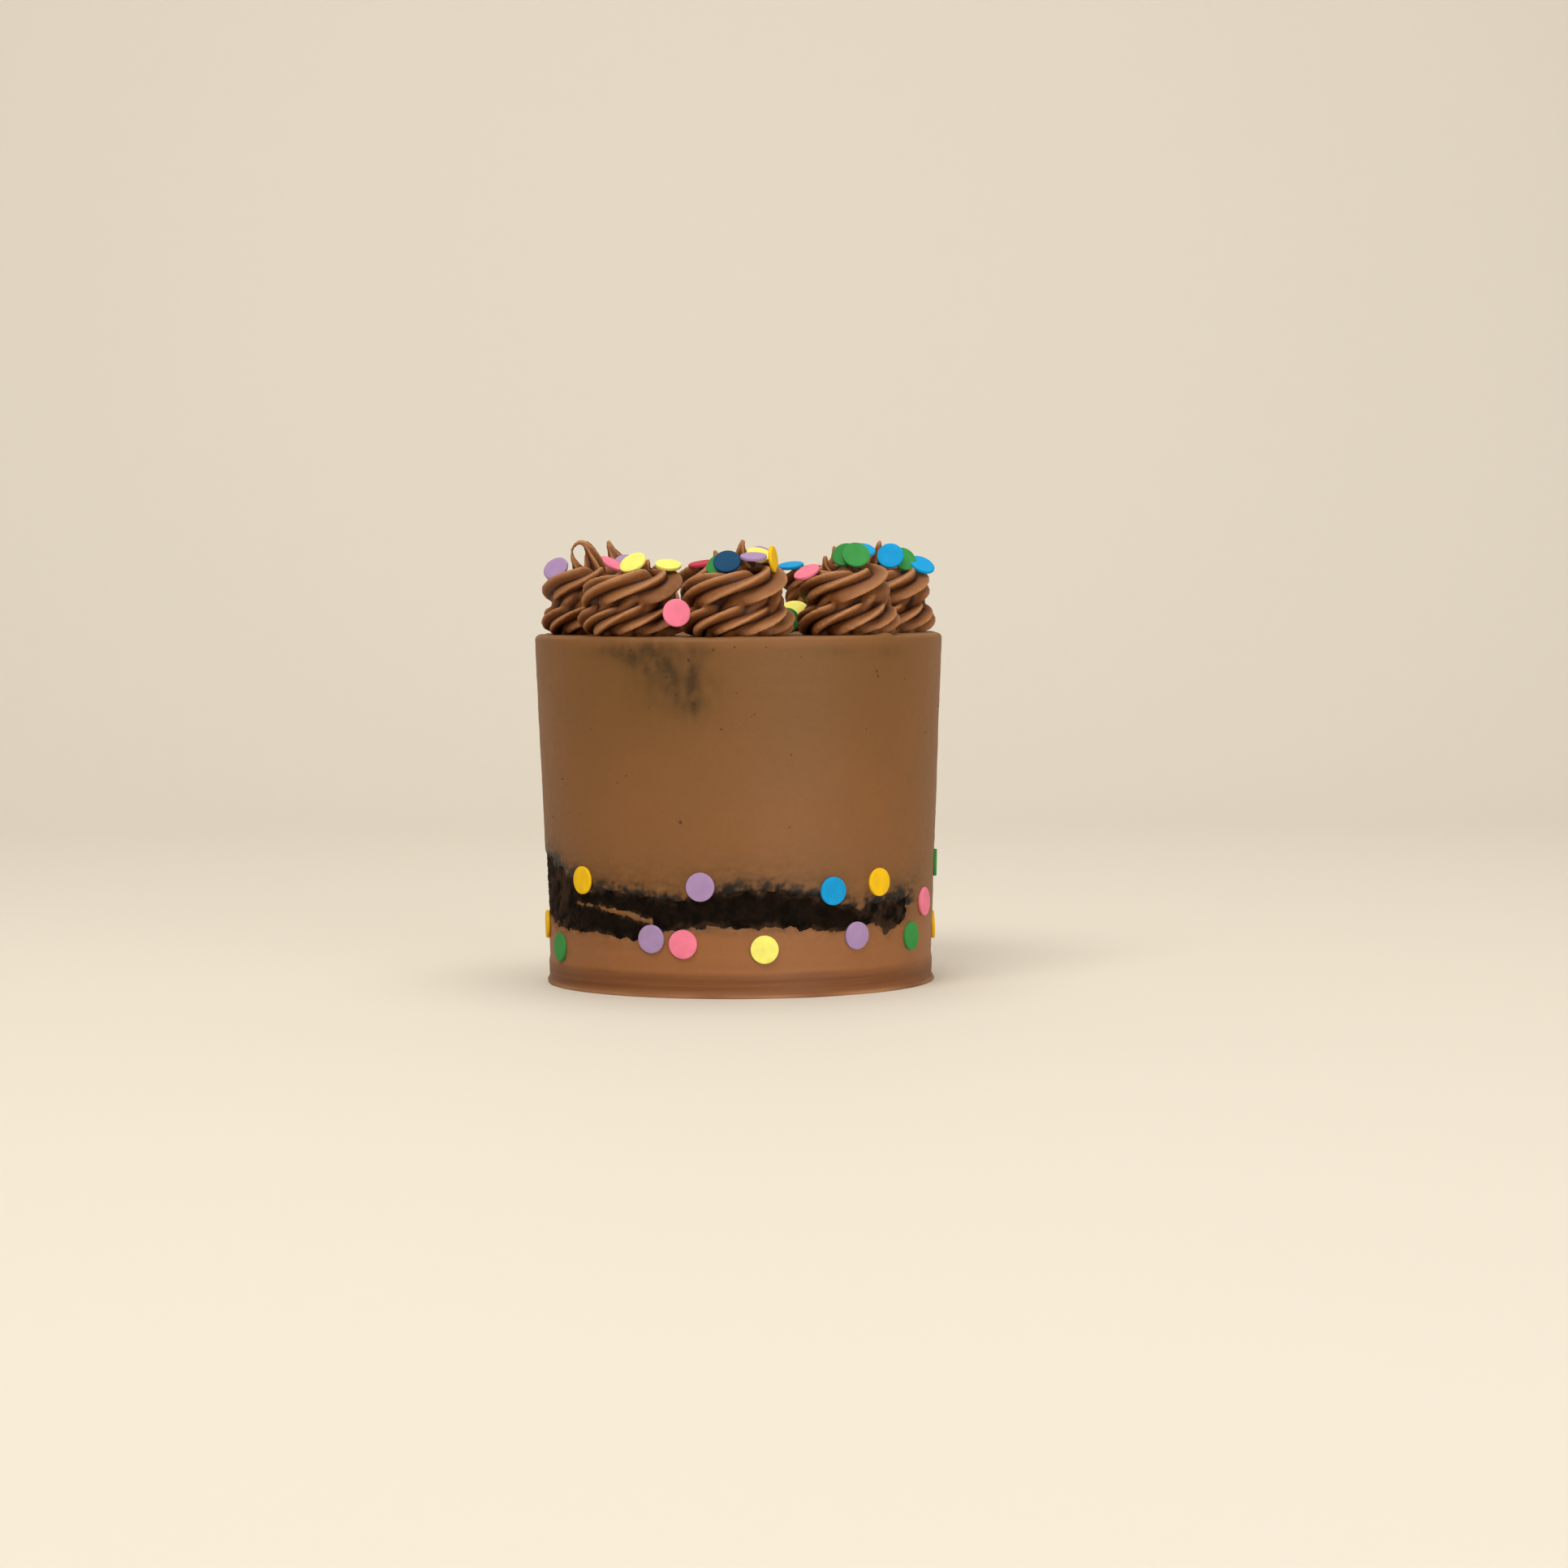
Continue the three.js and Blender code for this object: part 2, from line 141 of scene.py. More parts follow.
# Dark crumbs caught in the coat: turn, height, size across
SPECKS = [
    (-33.3, 99.8, 0.9), (-30.6, 101.4, 0.7), (-23.6, 100.3, 0.9), (-18.6, 100.8, 0.6),
    (-20, 93.6, 1), (-20.6, 95.4, 0.7), (-13.6, 98.4, 1), (-12.3, 86.1, 1.1), (-17.4, 88.6, 0.6),
    (-25.4, 84.6, 0.5), (-6.8, 101.4, 0.8), (-16.7, 51.5, 1.2), (-4.9, 78.4, 0.7),
    (41, 94.6, 1), (41.4, 93.2, 0.8), (37.6, 77.7, 0.7), (-33.4, 64.6, 0.7), (-36.5, 62.6, 0.6),
    (65.9, 75.7, 0.8), (13.9, 49.7, 0.5), (-22.2, 54.2, 0.4), (-57.9, 52.8, 0.4),
    (4.2, 82.7, 0.5), (14.4, 70.9, 0.5), (-1, 102.2, 0.7), (3.4, 82, 0.4), (7.4, 102, 0.5),
]
SPARE_SPECKS = 36
SPARE_HEIGHTS = (40, 102)
SPARE_SIZES = (0.25, 0.6)
SPECK_SEED = 31
SPECK_RINGS = 6
SPECK_SIDES = 8
SPECK_STRETCH = (0.7, 1.4)
SPECK_SUNK = 0.25

# Confetti
DISC_RADIUS = 4.22
DISC_THICKNESS = 1.05
DISC_ROUNDING = 0.32
DISC_SEGMENTS = 40
DISC_CORNER_STEPS = 4
DISC_WARP = 0.1
DISC_TILT = 0.03
DISC_INNER = 0.6
DISC_SUNK = 0.18
DISC_BITE = 0.7
SIZE_SPREAD = 0.03
TOP_DISC_SIZE = 0.95
DISC_SEED = 12
SIDE_DISCS = [
    (-83.8, 17.7, "orange"), (-67.1, 12.2, "green"), (-51.8, 33.2, "orange"),
    (-26.4, 17.1, "lilac"), (-16.6, 15.8, "pink"), (-11.3, 32.6, "lilac"),
    (6.8, 14.3, "yellow"), (27.1, 30.8, "blue"), (35.3, 17.3, "lilac"), (43.4, 32.6, "orange"),
    (59.9, 15.4, "green"), (69.1, 25, "pink"), (87.2, 35.3, "green"), (90.5, 16.2, "orange"),
]
BACK_DISCS = 12
BACK_DISCS_FROM = 104
BACK_DISCS_PITCH = 13.4
BACK_ROW_HEIGHTS = (33, 16)
BACK_TURN_SPREAD = 4
BACK_HEIGHT_SPREAD = 2.4
BACK_SEED = 7
BACK_COLOURS = (
    "yellow", "pink", "blue", "lilac", "green", "orange", "pink", "yellow", "lilac", "blue",
    "orange", "green",
)

# Piped rope: turn along the rope, swirl radius, height, half width, half height
ROPE = np.array([
    (0, 9.4, 1.6, 4.6, 2.1),
    (25, 9.5, 3.4, 5.6, 3.8),
    (50, 9.6, 4.6, 6.3, 5),
    (335, 9.6, 4.7, 6.4, 5.2),
    (375, 9.5, 8, 6.4, 5.3),
    (415, 9.3, 12.4, 6.4, 5.6),
    (520, 8.8, 13.9, 6.3, 5.6),
    (600, 8.1, 14.7, 6, 5.8),
    (660, 6, 16.6, 5.4, 5.6),
    (705, 3, 20, 3.8, 4),
    (735, 1.3, 23.8, 1.9, 2),
    (765, 0.3, 27.9, 0.6, 0.6),
])
ROPE_PIECES = (0, 190, 380, 570, 765)
ROPE_STEP = 4
ROPE_RIDGES = 5
ROPE_COLUMNS = 96
RIDGE_SPREAD = (0.88, 1.1)
RIDGE_FLOOR = 0.33
CREST_ROUND = 0.5
CREST_PLACE = 0.34
LOW_TWIST = 1.9
HIGH_TWIST = 1.2
TWIST_CHANGE = 400
LEAN_FROM = 600
ROPE_EASING = 14
CORE = np.array([(11, -1), (12.4, 5), (12.4, 11), (11, 14), (7, 17), (3, 19.5), (0.1, 21)])
CORE_COLUMNS = 144
CORE_RINGS = 24
CORE_RIDGES = 11
CORE_RIDGE_DEPTH = 1.7
CORE_SLANT = 4.5
REMESH_STEP = 0.37
SOFTENING = 0.5
FIRST_ROUNDS = 2
SOFTENING_ROUNDS = 60
# Painted shade in the grooves of the piping, from where the skin sinks in to where it is full
GROOVE_SHADE_RANGE = (0.0, -0.45)
# Painted highlight on the crests of the piping, from where the skin stands out to where it is full
CREST_HIGHLIGHT_RANGE = (0.1, 0.6)
TEAR_DEPTH = 0.15
TEAR_WIDTH = 1.3
TEAR_RANGE = (-0.1, 0.5)

# The peak that was pulled over into a thin loop: across, height, half thickness
CURL_PATH = np.array([
    (1.1, 15.5, 4.9), (1, 20.5, 4.2), (0.8, 22.5, 3.3), (0.3, 24.6, 2.4), (-0.6, 26.5, 1.6),
    (-2.4, 28, 0.95), (-4.6, 27.5, 0.64), (-5.9, 25.6, 0.52), (-5.7, 23.5, 0.7),
    (-4.9, 21.7, 1.3), (-3.9, 20, 2.1), (-2.6, 18, 2.8),
])
CURL_AHEAD = 0.35
CURL_STEPS = 70
CURL_EASING = 4
CURL_TWIST = 200
CURL_ROPE_END = 640

# Rosettes: turn round the cake, where the rope starts, size across and the lean of the tip
RING_RADIUS = 44.5
ROSETTES = {
    "rosette_1": (0, 100, 1.09, (1.6, 0, 0.4)),
    "rosette_2": (47, 75, 1.02, (-6.5, 1, -4.4)),
    "rosette_3": (94, 160, 1, (-1, -1, 0)),
    "rosette_4": (142, 300, 1.05, (2, -2, -1.5)),
    "rosette_5": (187, 290, 1.04, (-2, 2, -2.6)),
    "rosette_6": (-131, 330, 1.04, (-6.5, 0, 0.6)),
    "rosette_7": (-88.5, 20, 0.99, (0, 0, 0)),
    "rosette_8": (-44, 110, 1.045, (4.6, 1.4, -5.2)),
}
CURL_ROSETTE = "rosette_7"

# Confetti on the rosettes: colour, across, ahead, tilt, lean, turn and, where wedged, height
TOP_DISCS = {
    "rosette_1": [
        ("royal", -3.2, 4.2, 50, 0, -6, 21.8), ("green", -5.4, 0.6, 50, -8, -20, 20.9),
        ("lilac", 4.5, 3.8, 14, 0, 0, 23.2), ("yellow", 6, -1.6, 28, 8, 0, 23.7),
        ("lilac", 6.6, -6.2, 54, 0, 10, 22.9), ("orange", 10.3, 0.8, 6, 83, -8, 22.4),
        ("pink", -17.9, 9.2, 84, 0, 12, 7.1),
    ],
    "rosette_2": [
        ("pink", -12.3, 3, 22, -24, 0, 18.5), ("green", -0.9, 0.2, 58, -8, -14, 23.6),
        ("green", 2.2, 3.6, 60, 0, 4, 23.5), ("blue", 4.2, -3.6, 26, 0, 10, 24.9),
        ("yellow", -15.7, -9.6, 34, 0, 0, 7.5), ("green", -18.2, -6.2, 80, 0, -14, 4.1),
    ],
    "rosette_3": [
        ("blue", 1.6, 5.4, 66, 0, -4, 23.2), ("green", 5.9, 2.8, 60, 0, 30, 22.1),
        ("blue", 11.3, 1, 30, 22, 0, 20.4), ("pink", 2, -8, -30, 0, 0),
    ],
    "rosette_4": [
        ("blue", -11, 3, 12, -6, 0, 20.3), ("yellow", 3, -6, -36, 10, 0),
        ("orange", 8.4, 4, 24, 20, 0), ("lilac", -6, -12.8, -62, -10, 0, 12.8),
    ],
    "rosette_5": [
        ("red", -6.2, 3, 10, -10, 0, 21), ("green", 6.4, -4, -30, 16, 0),
        ("pink", -4.4, -13.2, -62, 0, 0, 13.2), ("blue", 8.6, 5, 20, 22, 0),
    ],
    "rosette_6": [
        ("lilac", -0.8, 5.4, 40, 0, 0, 21.3), ("orange", 6, -12.6, -60, 10, 20, 12.8),
        ("blue", -7, -6, -32, -18, 0),
    ],
    "rosette_7": [
        ("lilac", -10.4, 2.6, 44, -34, 0, 19.9), ("pink", 6.4, -4.6, 16, 28, 0, 21.2),
        ("green", -3, -13.4, -62, 0, 0, 12.8),
    ],
    "rosette_8": [
        ("yellow", 0, 2.6, 38, -22, -10, 21.6), ("yellow", 10.3, -1.5, 20, 4, 0, 20.9),
        ("pink", -6, -8, -24, -12, 0),
    ],
}

# Colours as seen, red, green and blue out of 255
BUTTERCREAM = (141, 93, 49)
BUTTERCREAM_DULL = (131, 89, 48)
BUTTERCREAM_SHADED = (118, 80, 36)
# Painted bounce light: a lighter, pinker coat low on the side
BUTTERCREAM_BOUNCE_LIT = (156, 101, 58)
BUTTERCREAM_SMEAR = (84, 56, 27)
STAIN = (70, 47, 16)
FOOT_BROWN = (112, 64, 30)
# Painted highlight for the thin light line along the foot
FOOT_HIGHLIGHT = (190, 140, 100)
CRUMB_BROWN = (62, 38, 21)
PIPED = (112, 64, 27)
PIPED_LIGHT = (126, 76, 37)
# Painted highlight on the crests of the piping
PIPED_CREST_HIGHLIGHT = (184, 130, 86)
# Painted shade in the grooves of the piping
PIPED_GROOVE_SHADE = (42, 12, 2)
SPONGE_DARK = (13, 7, 3)
SPONGE_GREY = (72, 52, 38)
CONFETTI = {
    "yellow": (255, 248, 122), "pink": (250, 132, 160), "lilac": (174, 144, 190),
    "blue": (0, 160, 226), "royal": (0, 68, 108), "orange": (255, 202, 12),
    "green": (56, 150, 72), "red": (200, 56, 80),
}

# Camera: the middle of the photograph's frame, its focal length and its horizon, in pixels
IMAGE_SIDE = 1932
FOCAL_PIXELS = 5146
HORIZON_ROW = 682
AXIS_COLUMN = 911
EYE_DISTANCE = 1265
EYE_HEIGHT = 129
ROLL_DEGREES = 0.35
SENSOR_MM = 36

# Stage and light
FLOOR_COLOUR = (226, 220, 208)
FLOOR_HALF = 4000
FLOOR_FRONT = -8000
WALL_START = 700
WALL_SWEEP = 600
WALL_HEIGHT = 3000
SWEEP_STEPS = 16

# Lights, in metres: place, target, size, power in watts and colour
LIGHTS = {
    "key": ((-0.5, -1.1, 1.5), (0, 0, 0.06), (1.0, 0.8), 17, (1.0, 0.95, 0.87)),
    "fill": ((0.9, -1.5, 0.25), (0, 0, 0.05), (1.2, 0.5), 12, (1.0, 0.96, 0.9)),
    "overhead": ((0.1, 0.2, 1.7), (0, 0, 0.1), (1.4, 1.0), 12, (1.0, 0.95, 0.88)),
    "wall": ((0, -0.6, 2.6), (0, 1.3, 0.4), (3.0, 1.2), 11, (1.0, 0.97, 0.92)),
}
ROOM_COLOUR = (1.0, 0.95, 0.88, 1.0)
ROOM_STRENGTH = 0.2


def as_linear(colour):
    """A colour out of 255 as the linear red, green, blue and alpha that shaders take."""
    parts = [c / 255 for c in colour]
    return [c / 12.92 if c <= 0.04045 else ((c + 0.055) / 1.055) ** 2.4 for c in parts] + [1.0]


def ease(low, high, value):
    """A share that goes smoothly from 0 at low to 1 at high."""
    share = np.clip((value - low) / (high - low), 0, 1)
    return share * share * (3 - 2 * share)


def curve(rows, turns):
    """Heights of an edge at some turns, straight between the rows."""
    return np.interp(turns, [row[0] for row in rows], [row[1] for row in rows])


def roundness(turn):
    """How far the cake is from round at each turn, as a share of its radius."""
    angle = np.radians(turn)
    return 1 + SIDE_WAVE * (np.sin(2 * angle + 0.7) + 0.5 * np.sin(4 * angle))


def side_radius(height, turn):
    """Radius of the plain side, a little wider at the foot and widest at the rim."""
    flare = np.clip((WAIST_HEIGHT - height) / WAIST_HEIGHT, 0, None) ** 2
    rise = np.clip((height - WAIST_HEIGHT) / (CAKE_HEIGHT - RIM_ROUNDING - WAIST_HEIGHT), 0, 1)
    radius = WAIST_RADIUS + (FOOT_RADIUS - WAIST_RADIUS) * flare
    radius = radius + (TOP_RADIUS - WAIST_RADIUS) * rise
    return radius * roundness(turn)


def around(turn, radius, height):
    """Points at turns from the front, positive towards +X."""
    angle = np.radians(turn)
    return np.stack(
        [radius * np.sin(angle), -radius * np.cos(angle), height + 0 * angle * radius], axis=-1
    )


def noise_at(points, scale, seed):
    """Smooth noise between about -1 and 1 at each point, with features of that size."""
    shift = Vector((seed * 17.3, seed * 5.1, -seed * 9.7))
    flat = np.asarray(points, float).reshape(-1, 3) / scale
    values = [noise.noise(Vector(point) + shift) for point in flat]
    return np.array(values).reshape(np.shape(points)[:-1])


def humps(rows, value):
    """The sum of some smooth humps: middle, half width and height of each."""
    return sum(tall * np.exp(-(((value - middle) / half) ** 2)) for middle, half, tall in rows)


def grid_faces(rows, columns):
    """Quads of a grid of rows whose columns close on themselves."""
    row, column = np.meshgrid(np.arange(rows - 1), np.arange(columns), indexing="ij")
    ahead = (column + 1) % columns
    quads = [row * columns + column, row * columns + ahead]
    quads += [(row + 1) * columns + ahead, (row + 1) * columns + column]
    return np.stack(quads, axis=-1).reshape(-1, 4)


def closed_grid(points):
    """Points and faces of a grid of rings, its ends closed by fans about their middles."""
    rows, columns = points.shape[:2]
    faces = grid_faces(rows, columns).tolist()
    flat = list(points.reshape(-1, 3))
    flat += [points[0].mean(axis=0), points[-1].mean(axis=0)]
    first, last = rows * columns, rows * columns + 1
    top = (rows - 1) * columns
    for i in range(columns):
        ahead = (i + 1) % columns
        faces.append((first, ahead, i))
        faces.append((last, top + i, top + ahead))
    return np.array(flat), faces


def make_mesh(name, points, faces):
    mesh = bpy.data.meshes.new(name)
    mesh.from_pydata((np.asarray(points) * MM).tolist(), [], faces)
    mesh.validate()
    mesh.shade_smooth()
    return mesh


def add_piece(name, mesh, material, slot, *nodes):
    """An object that rides on the cake with the material given, and may replace nodes. The slot is not
    used.
    """
    mesh.materials.clear()
    mesh.materials.append(material)
    piece = bpy.data.objects.new(name, mesh)
    bpy.context.scene.collection.objects.link(piece)
    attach(piece, "root")
    if nodes:
        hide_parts(*nodes)
    return piece


def set_values(mesh, name, values, first=0):
    """A number for each point of the mesh, for its material to read, 0 outside the run given."""
    values = np.asarray(values, np.float32).ravel()
    full = np.zeros(len(mesh.vertices), np.float32)
    full[first : first + len(values)] = values
    layer = mesh.attributes.new(name, "FLOAT", "POINT")
    layer.data.foreach_set("value", full)


# Effects that several materials share


def new_effect(name, inputs, outputs):
    """An empty node group with named number inputs and outputs, and its two end nodes."""
    group = bpy.data.node_groups.new(name, "ShaderNodeTree")
    for label, value in inputs:
        socket = group.interface.new_socket(label, in_out="INPUT", socket_type="NodeSocketFloat")
        socket.default_value = value
    for label in outputs:
        group.interface.new_socket(label, in_out="OUTPUT", socket_type="NodeSocketFloat")
    start = group.nodes.new("NodeGroupInput")
    end = group.nodes.new("NodeGroupOutput")
    return group, start, end


def link(tree, source, target):
    tree.links.new(source, target)


def math_node(tree, operation, first, second, clamp=False):
    node = tree.nodes.new("ShaderNodeMath")
    node.operation = operation
    node.use_clamp = clamp
    for socket, value in zip(node.inputs, (first, second)):
        if isinstance(value, (int, float)):
            socket.default_value = value
        else:
            link(tree, value, socket)
    return node.outputs[0]


def noise_node(tree, vector, scale, detail, roughness):
    node = tree.nodes.new("ShaderNodeTexNoise")
    node.inputs["Detail"].default_value = detail
    node.inputs["Roughness"].default_value = roughness
    link(tree, vector, node.inputs["Vector"])
    if isinstance(scale, (int, float)):
        node.inputs["Scale"].default_value = scale
    else:
        link(tree, scale, node.inputs["Scale"])
    return node.outputs["Fac"]


def make_grain():
    """Fine uneven grain: a height, and a mask of the same grain for tints."""
    inputs = [("Scale", 900.0), ("Coarse Share", 0.4)]
    group, start, end = new_effect("buttercream_grain", inputs, ["Height", "Mask"])
    place = group.nodes.new("ShaderNodeTexCoord").outputs["Object"]
    fine = noise_node(group, place, start.outputs["Scale"], 4.0, 0.6)
    wide_scale = math_node(group, "MULTIPLY", start.outputs["Scale"], 0.28)
    wide = noise_node(group, place, wide_scale, 2.0, 0.5)
    mix = group.nodes.new("ShaderNodeMix")
    link(group, start.outputs["Coarse Share"], mix.inputs[0])
    link(group, fine, mix.inputs[2])
    link(group, wide, mix.inputs[3])
    link(group, mix.outputs[0], end.inputs["Height"])
    link(group, mix.outputs[0], end.inputs["Mask"])
    return group


def make_mottle():
    """Soft clouds that tint a surface unevenly, from 0 to 1."""
    inputs = [("Scale", 40.0), ("Contrast", 2.0)]
    group, start, end = new_effect("soft_mottle", inputs, ["Mask"])
    place = group.nodes.new("ShaderNodeTexCoord").outputs["Object"]
    cloud = noise_node(group, place, start.outputs["Scale"], 3.0, 0.5)
    centred = math_node(group, "SUBTRACT", cloud, 0.5)
    wider = math_node(group, "MULTIPLY", centred, start.outputs["Contrast"])
    mask = math_node(group, "ADD", wider, 0.5, clamp=True)
    link(group, mask, end.inputs["Mask"])
    return group


def make_pores():
    """Small open pits as in a crumb or in whipped cream: a height that dips in each."""
    inputs = [("Scale", 700.0), ("Size", 0.3)]
    group, start, end = new_effect("open_pores", inputs, ["Height", "Mask"])
    place = group.nodes.new("ShaderNodeTexCoord").outputs["Object"]
    cells = group.nodes.new("ShaderNodeTexVoronoi")
    link(group, place, cells.inputs["Vector"])
    link(group, start.outputs["Scale"], cells.inputs["Scale"])
    depth = math_node(group, "DIVIDE", cells.outputs["Distance"], start.outputs["Size"], clamp=True)
    pit = math_node(group, "SUBTRACT", 1.0, depth)
    link(group, depth, end.inputs["Height"])
    link(group, pit, end.inputs["Mask"])
    return group


GRAIN = make_grain()
MOTTLE = make_mottle()
PORES = make_pores()


def use(tree, group, **values):
    """A shared effect placed in a material with its own values."""
    node = tree.nodes.new("ShaderNodeGroup")
    node.node_tree = group
    for label, value in values.items():
        node.inputs[label.replace("_", " ")].default_value = value
    return node


def new_material(name, roughness, subsurface=0.0, subsurface_scale=0.002):
    material = bpy.data.materials.new(name)
    material.use_nodes = True
    tree = material.node_tree
    shader = tree.nodes["Principled BSDF"]
    shader.inputs["Roughness"].default_value = roughness
    shader.inputs["Subsurface Weight"].default_value = subsurface
    shader.inputs["Subsurface Scale"].default_value = subsurface_scale
    shader.inputs["Subsurface Radius"].default_value = (1.0, 0.6, 0.35)
    return material, tree, shader


def mix_colours(tree, share, first, second):
    """A mix of two colours, each a socket or a colour as seen."""
    node = tree.nodes.new("ShaderNodeMix")
    node.data_type = "RGBA"
    if isinstance(share, (int, float)):
        node.inputs[0].default_value = share
    else:
        link(tree, share, node.inputs[0])
    for socket, colour in ((node.inputs[6], first), (node.inputs[7], second)):
        if isinstance(colour, tuple):
            socket.default_value = as_linear(colour)
        else:
            link(tree, colour, socket)
    return node.outputs[2]


def bump(tree, shader, height, distance, strength, under=None):
    """A bump on the shader, laid over another where one is given."""
    node = tree.nodes.new("ShaderNodeBump")
    node.inputs["Distance"].default_value = distance * MM
    node.inputs["Strength"].default_value = strength
    link(tree, height, node.inputs["Height"])
    if under is not None:
        link(tree, under, node.inputs["Normal"])
    link(tree, node.outputs["Normal"], shader.inputs["Normal"])
    return node.outputs["Normal"]


def point_value(tree, name):
    node = tree.nodes.new("ShaderNodeAttribute")
    node.attribute_name = name
    return node.outputs["Fac"]


def streaks(tree, scale):
    """Fine level lines left by a scraper, from the height alone with a slow drift round."""
    place = tree.nodes.new("ShaderNodeTexCoord").outputs["Object"]
    stretch = tree.nodes.new("ShaderNodeMapping")
    stretch.inputs["Scale"].default_value = (0.02, 0.02, 1.0)
    link(tree, place, stretch.inputs["Vector"])
    return noise_node(tree, stretch.outputs["Vector"], scale, 3.0, 0.6)


def coat_material():
    material, tree, shader = new_material("scraped_buttercream", 0.55, 0.12, 0.0015)
    shader.inputs["Specular IOR Level"].default_value = 0.3
    mottle = use(tree, MOTTLE, Scale=38.0, Contrast=1.6)
    grain = use(tree, GRAIN, Scale=1500.0, Coarse_Share=0.35)
    pores = use(tree, PORES, Scale=420.0, Size=0.16)
    base = mix_colours(tree, mottle.outputs["Mask"], BUTTERCREAM_DULL, BUTTERCREAM)
    # Painted bounce light: the coat lighter and pinker low on the side
    base = mix_colours(tree, point_value(tree, "bounce_light"), base, BUTTERCREAM_BOUNCE_LIT)
    base = mix_colours(tree, point_value(tree, "shaded"), base, BUTTERCREAM_SHADED)
    speckle = math_node(tree, "MULTIPLY", grain.outputs["Mask"], 0.24)
    base = mix_colours(tree, speckle, base, BUTTERCREAM_SMEAR)
    level_lines = streaks(tree, 700.0)
    foot = math_node(tree, "MULTIPLY", level_lines, point_value(tree, "foot"))
    base = mix_colours(tree, math_node(tree, "MULTIPLY", foot, 1.5, clamp=True), base, FOOT_BROWN)
    smear = point_value(tree, "smear")
    thin = math_node(tree, "MULTIPLY", smear, 1.3, clamp=True)
    thick = math_node(tree, "MULTIPLY", math_node(tree, "SUBTRACT", smear, 0.45), 1.9, clamp=True)
    smeared = mix_colours(tree, thin, base, BUTTERCREAM_SMEAR)
    smeared = mix_colours(tree, thick, smeared, SPONGE_DARK)
    # Painted highlight: the light line along the foot
    smeared = mix_colours(tree, point_value(tree, "foot_highlight"), smeared, FOOT_HIGHLIGHT)
    stained = mix_colours(tree, point_value(tree, "stain"), smeared, STAIN)
    link(tree, stained, shader.inputs["Base Color"])
    rough = math_node(tree, "MULTIPLY", grain.outputs["Mask"], 0.25)
    link(tree, math_node(tree, "ADD", rough, 0.44), shader.inputs["Roughness"])
    first = bump(tree, shader, streaks(tree, 1100.0), 0.05, 0.5)
    second = bump(tree, shader, grain.outputs["Height"], 0.12, 0.7, first)
    bump(tree, shader, pores.outputs["Height"], 0.08, 0.5, second)
    return material


def piped_material():
    material, tree, shader = new_material("piped_buttercream", 0.55, 0.05, 0.001)
    mottle = use(tree, MOTTLE, Scale=90.0, Contrast=2.0)
    grain = use(tree, GRAIN, Scale=1300.0, Coarse_Share=0.5)
    pores = use(tree, PORES, Scale=520.0, Size=0.2)
    base = mix_colours(tree, mottle.outputs["Mask"], PIPED, PIPED_LIGHT)
    # Painted highlight on the crests
    crest = math_node(tree, "MULTIPLY", point_value(tree, "crest"), 0.85)
    base = mix_colours(tree, crest, base, PIPED_CREST_HIGHLIGHT)
    # Painted shade in the grooves
    groove_shaded = mix_colours(tree, point_value(tree, "groove"), base, PIPED_GROOVE_SHADE)
    link(tree, groove_shaded, shader.inputs["Base Color"])
    shader.inputs["Specular IOR Level"].default_value = 0.25
    rough = math_node(tree, "MULTIPLY", grain.outputs["Mask"], 0.25)
    link(tree, math_node(tree, "ADD", rough, 0.44), shader.inputs["Roughness"])
    first = bump(tree, shader, grain.outputs["Height"], 0.12, 0.7)
    bump(tree, shader, pores.outputs["Height"], 0.06, 0.4, first)
    return material


def sponge_material():
    material, tree, shader = new_material("dark_sponge", 0.9)
    mottle = use(tree, MOTTLE, Scale=260.0, Contrast=4.0)
    pores = use(tree, PORES, Scale=900.0, Size=0.45)
    grain = use(tree, GRAIN, Scale=2200.0, Coarse_Share=0.5)
    smear = math_node(tree, "MULTIPLY", point_value(tree, "smear"), mottle.outputs["Mask"])
    base = mix_colours(tree, smear, SPONGE_DARK, SPONGE_GREY)
    link(tree, base, shader.inputs["Base Color"])
    shader.inputs["Specular IOR Level"].default_value = 0.08
    first = bump(tree, shader, pores.outputs["Height"], 0.35, 0.8)
    bump(tree, shader, grain.outputs["Height"], 0.2, 0.8, first)
    return material


def crumb_material():
    material, tree, shader = new_material("caught_crumbs", 0.8)
    mottle = use(tree, MOTTLE, Scale=700.0, Contrast=3.0)
    base = mix_colours(tree, mottle.outputs["Mask"], CRUMB_BROWN, BUTTERCREAM_SMEAR)
    link(tree, base, shader.inputs["Base Color"])
    grain = use(tree, GRAIN, Scale=2600.0, Coarse_Share=0.4)
    bump(tree, shader, grain.outputs["Height"], 0.15, 0.8)
    return material


def confetti_material(name, colour):
    material, tree, shader = new_material(f"{name}_sugar", 0.72, 0.15, 0.001)
    mottle = use(tree, MOTTLE, Scale=320.0, Contrast=1.6)
    grain = use(tree, GRAIN, Scale=3200.0, Coarse_Share=0.3)
    deeper = tuple(c * 0.9 for c in colour)
    base = mix_colours(tree, mottle.outputs["Mask"], colour, deeper)
    link(tree, base, shader.inputs["Base Color"])
    shader.inputs["Specular IOR Level"].default_value = 0.25
    bump(tree, shader, grain.outputs["Height"], 0.1, 0.9)
    return material


# Buttercream coat


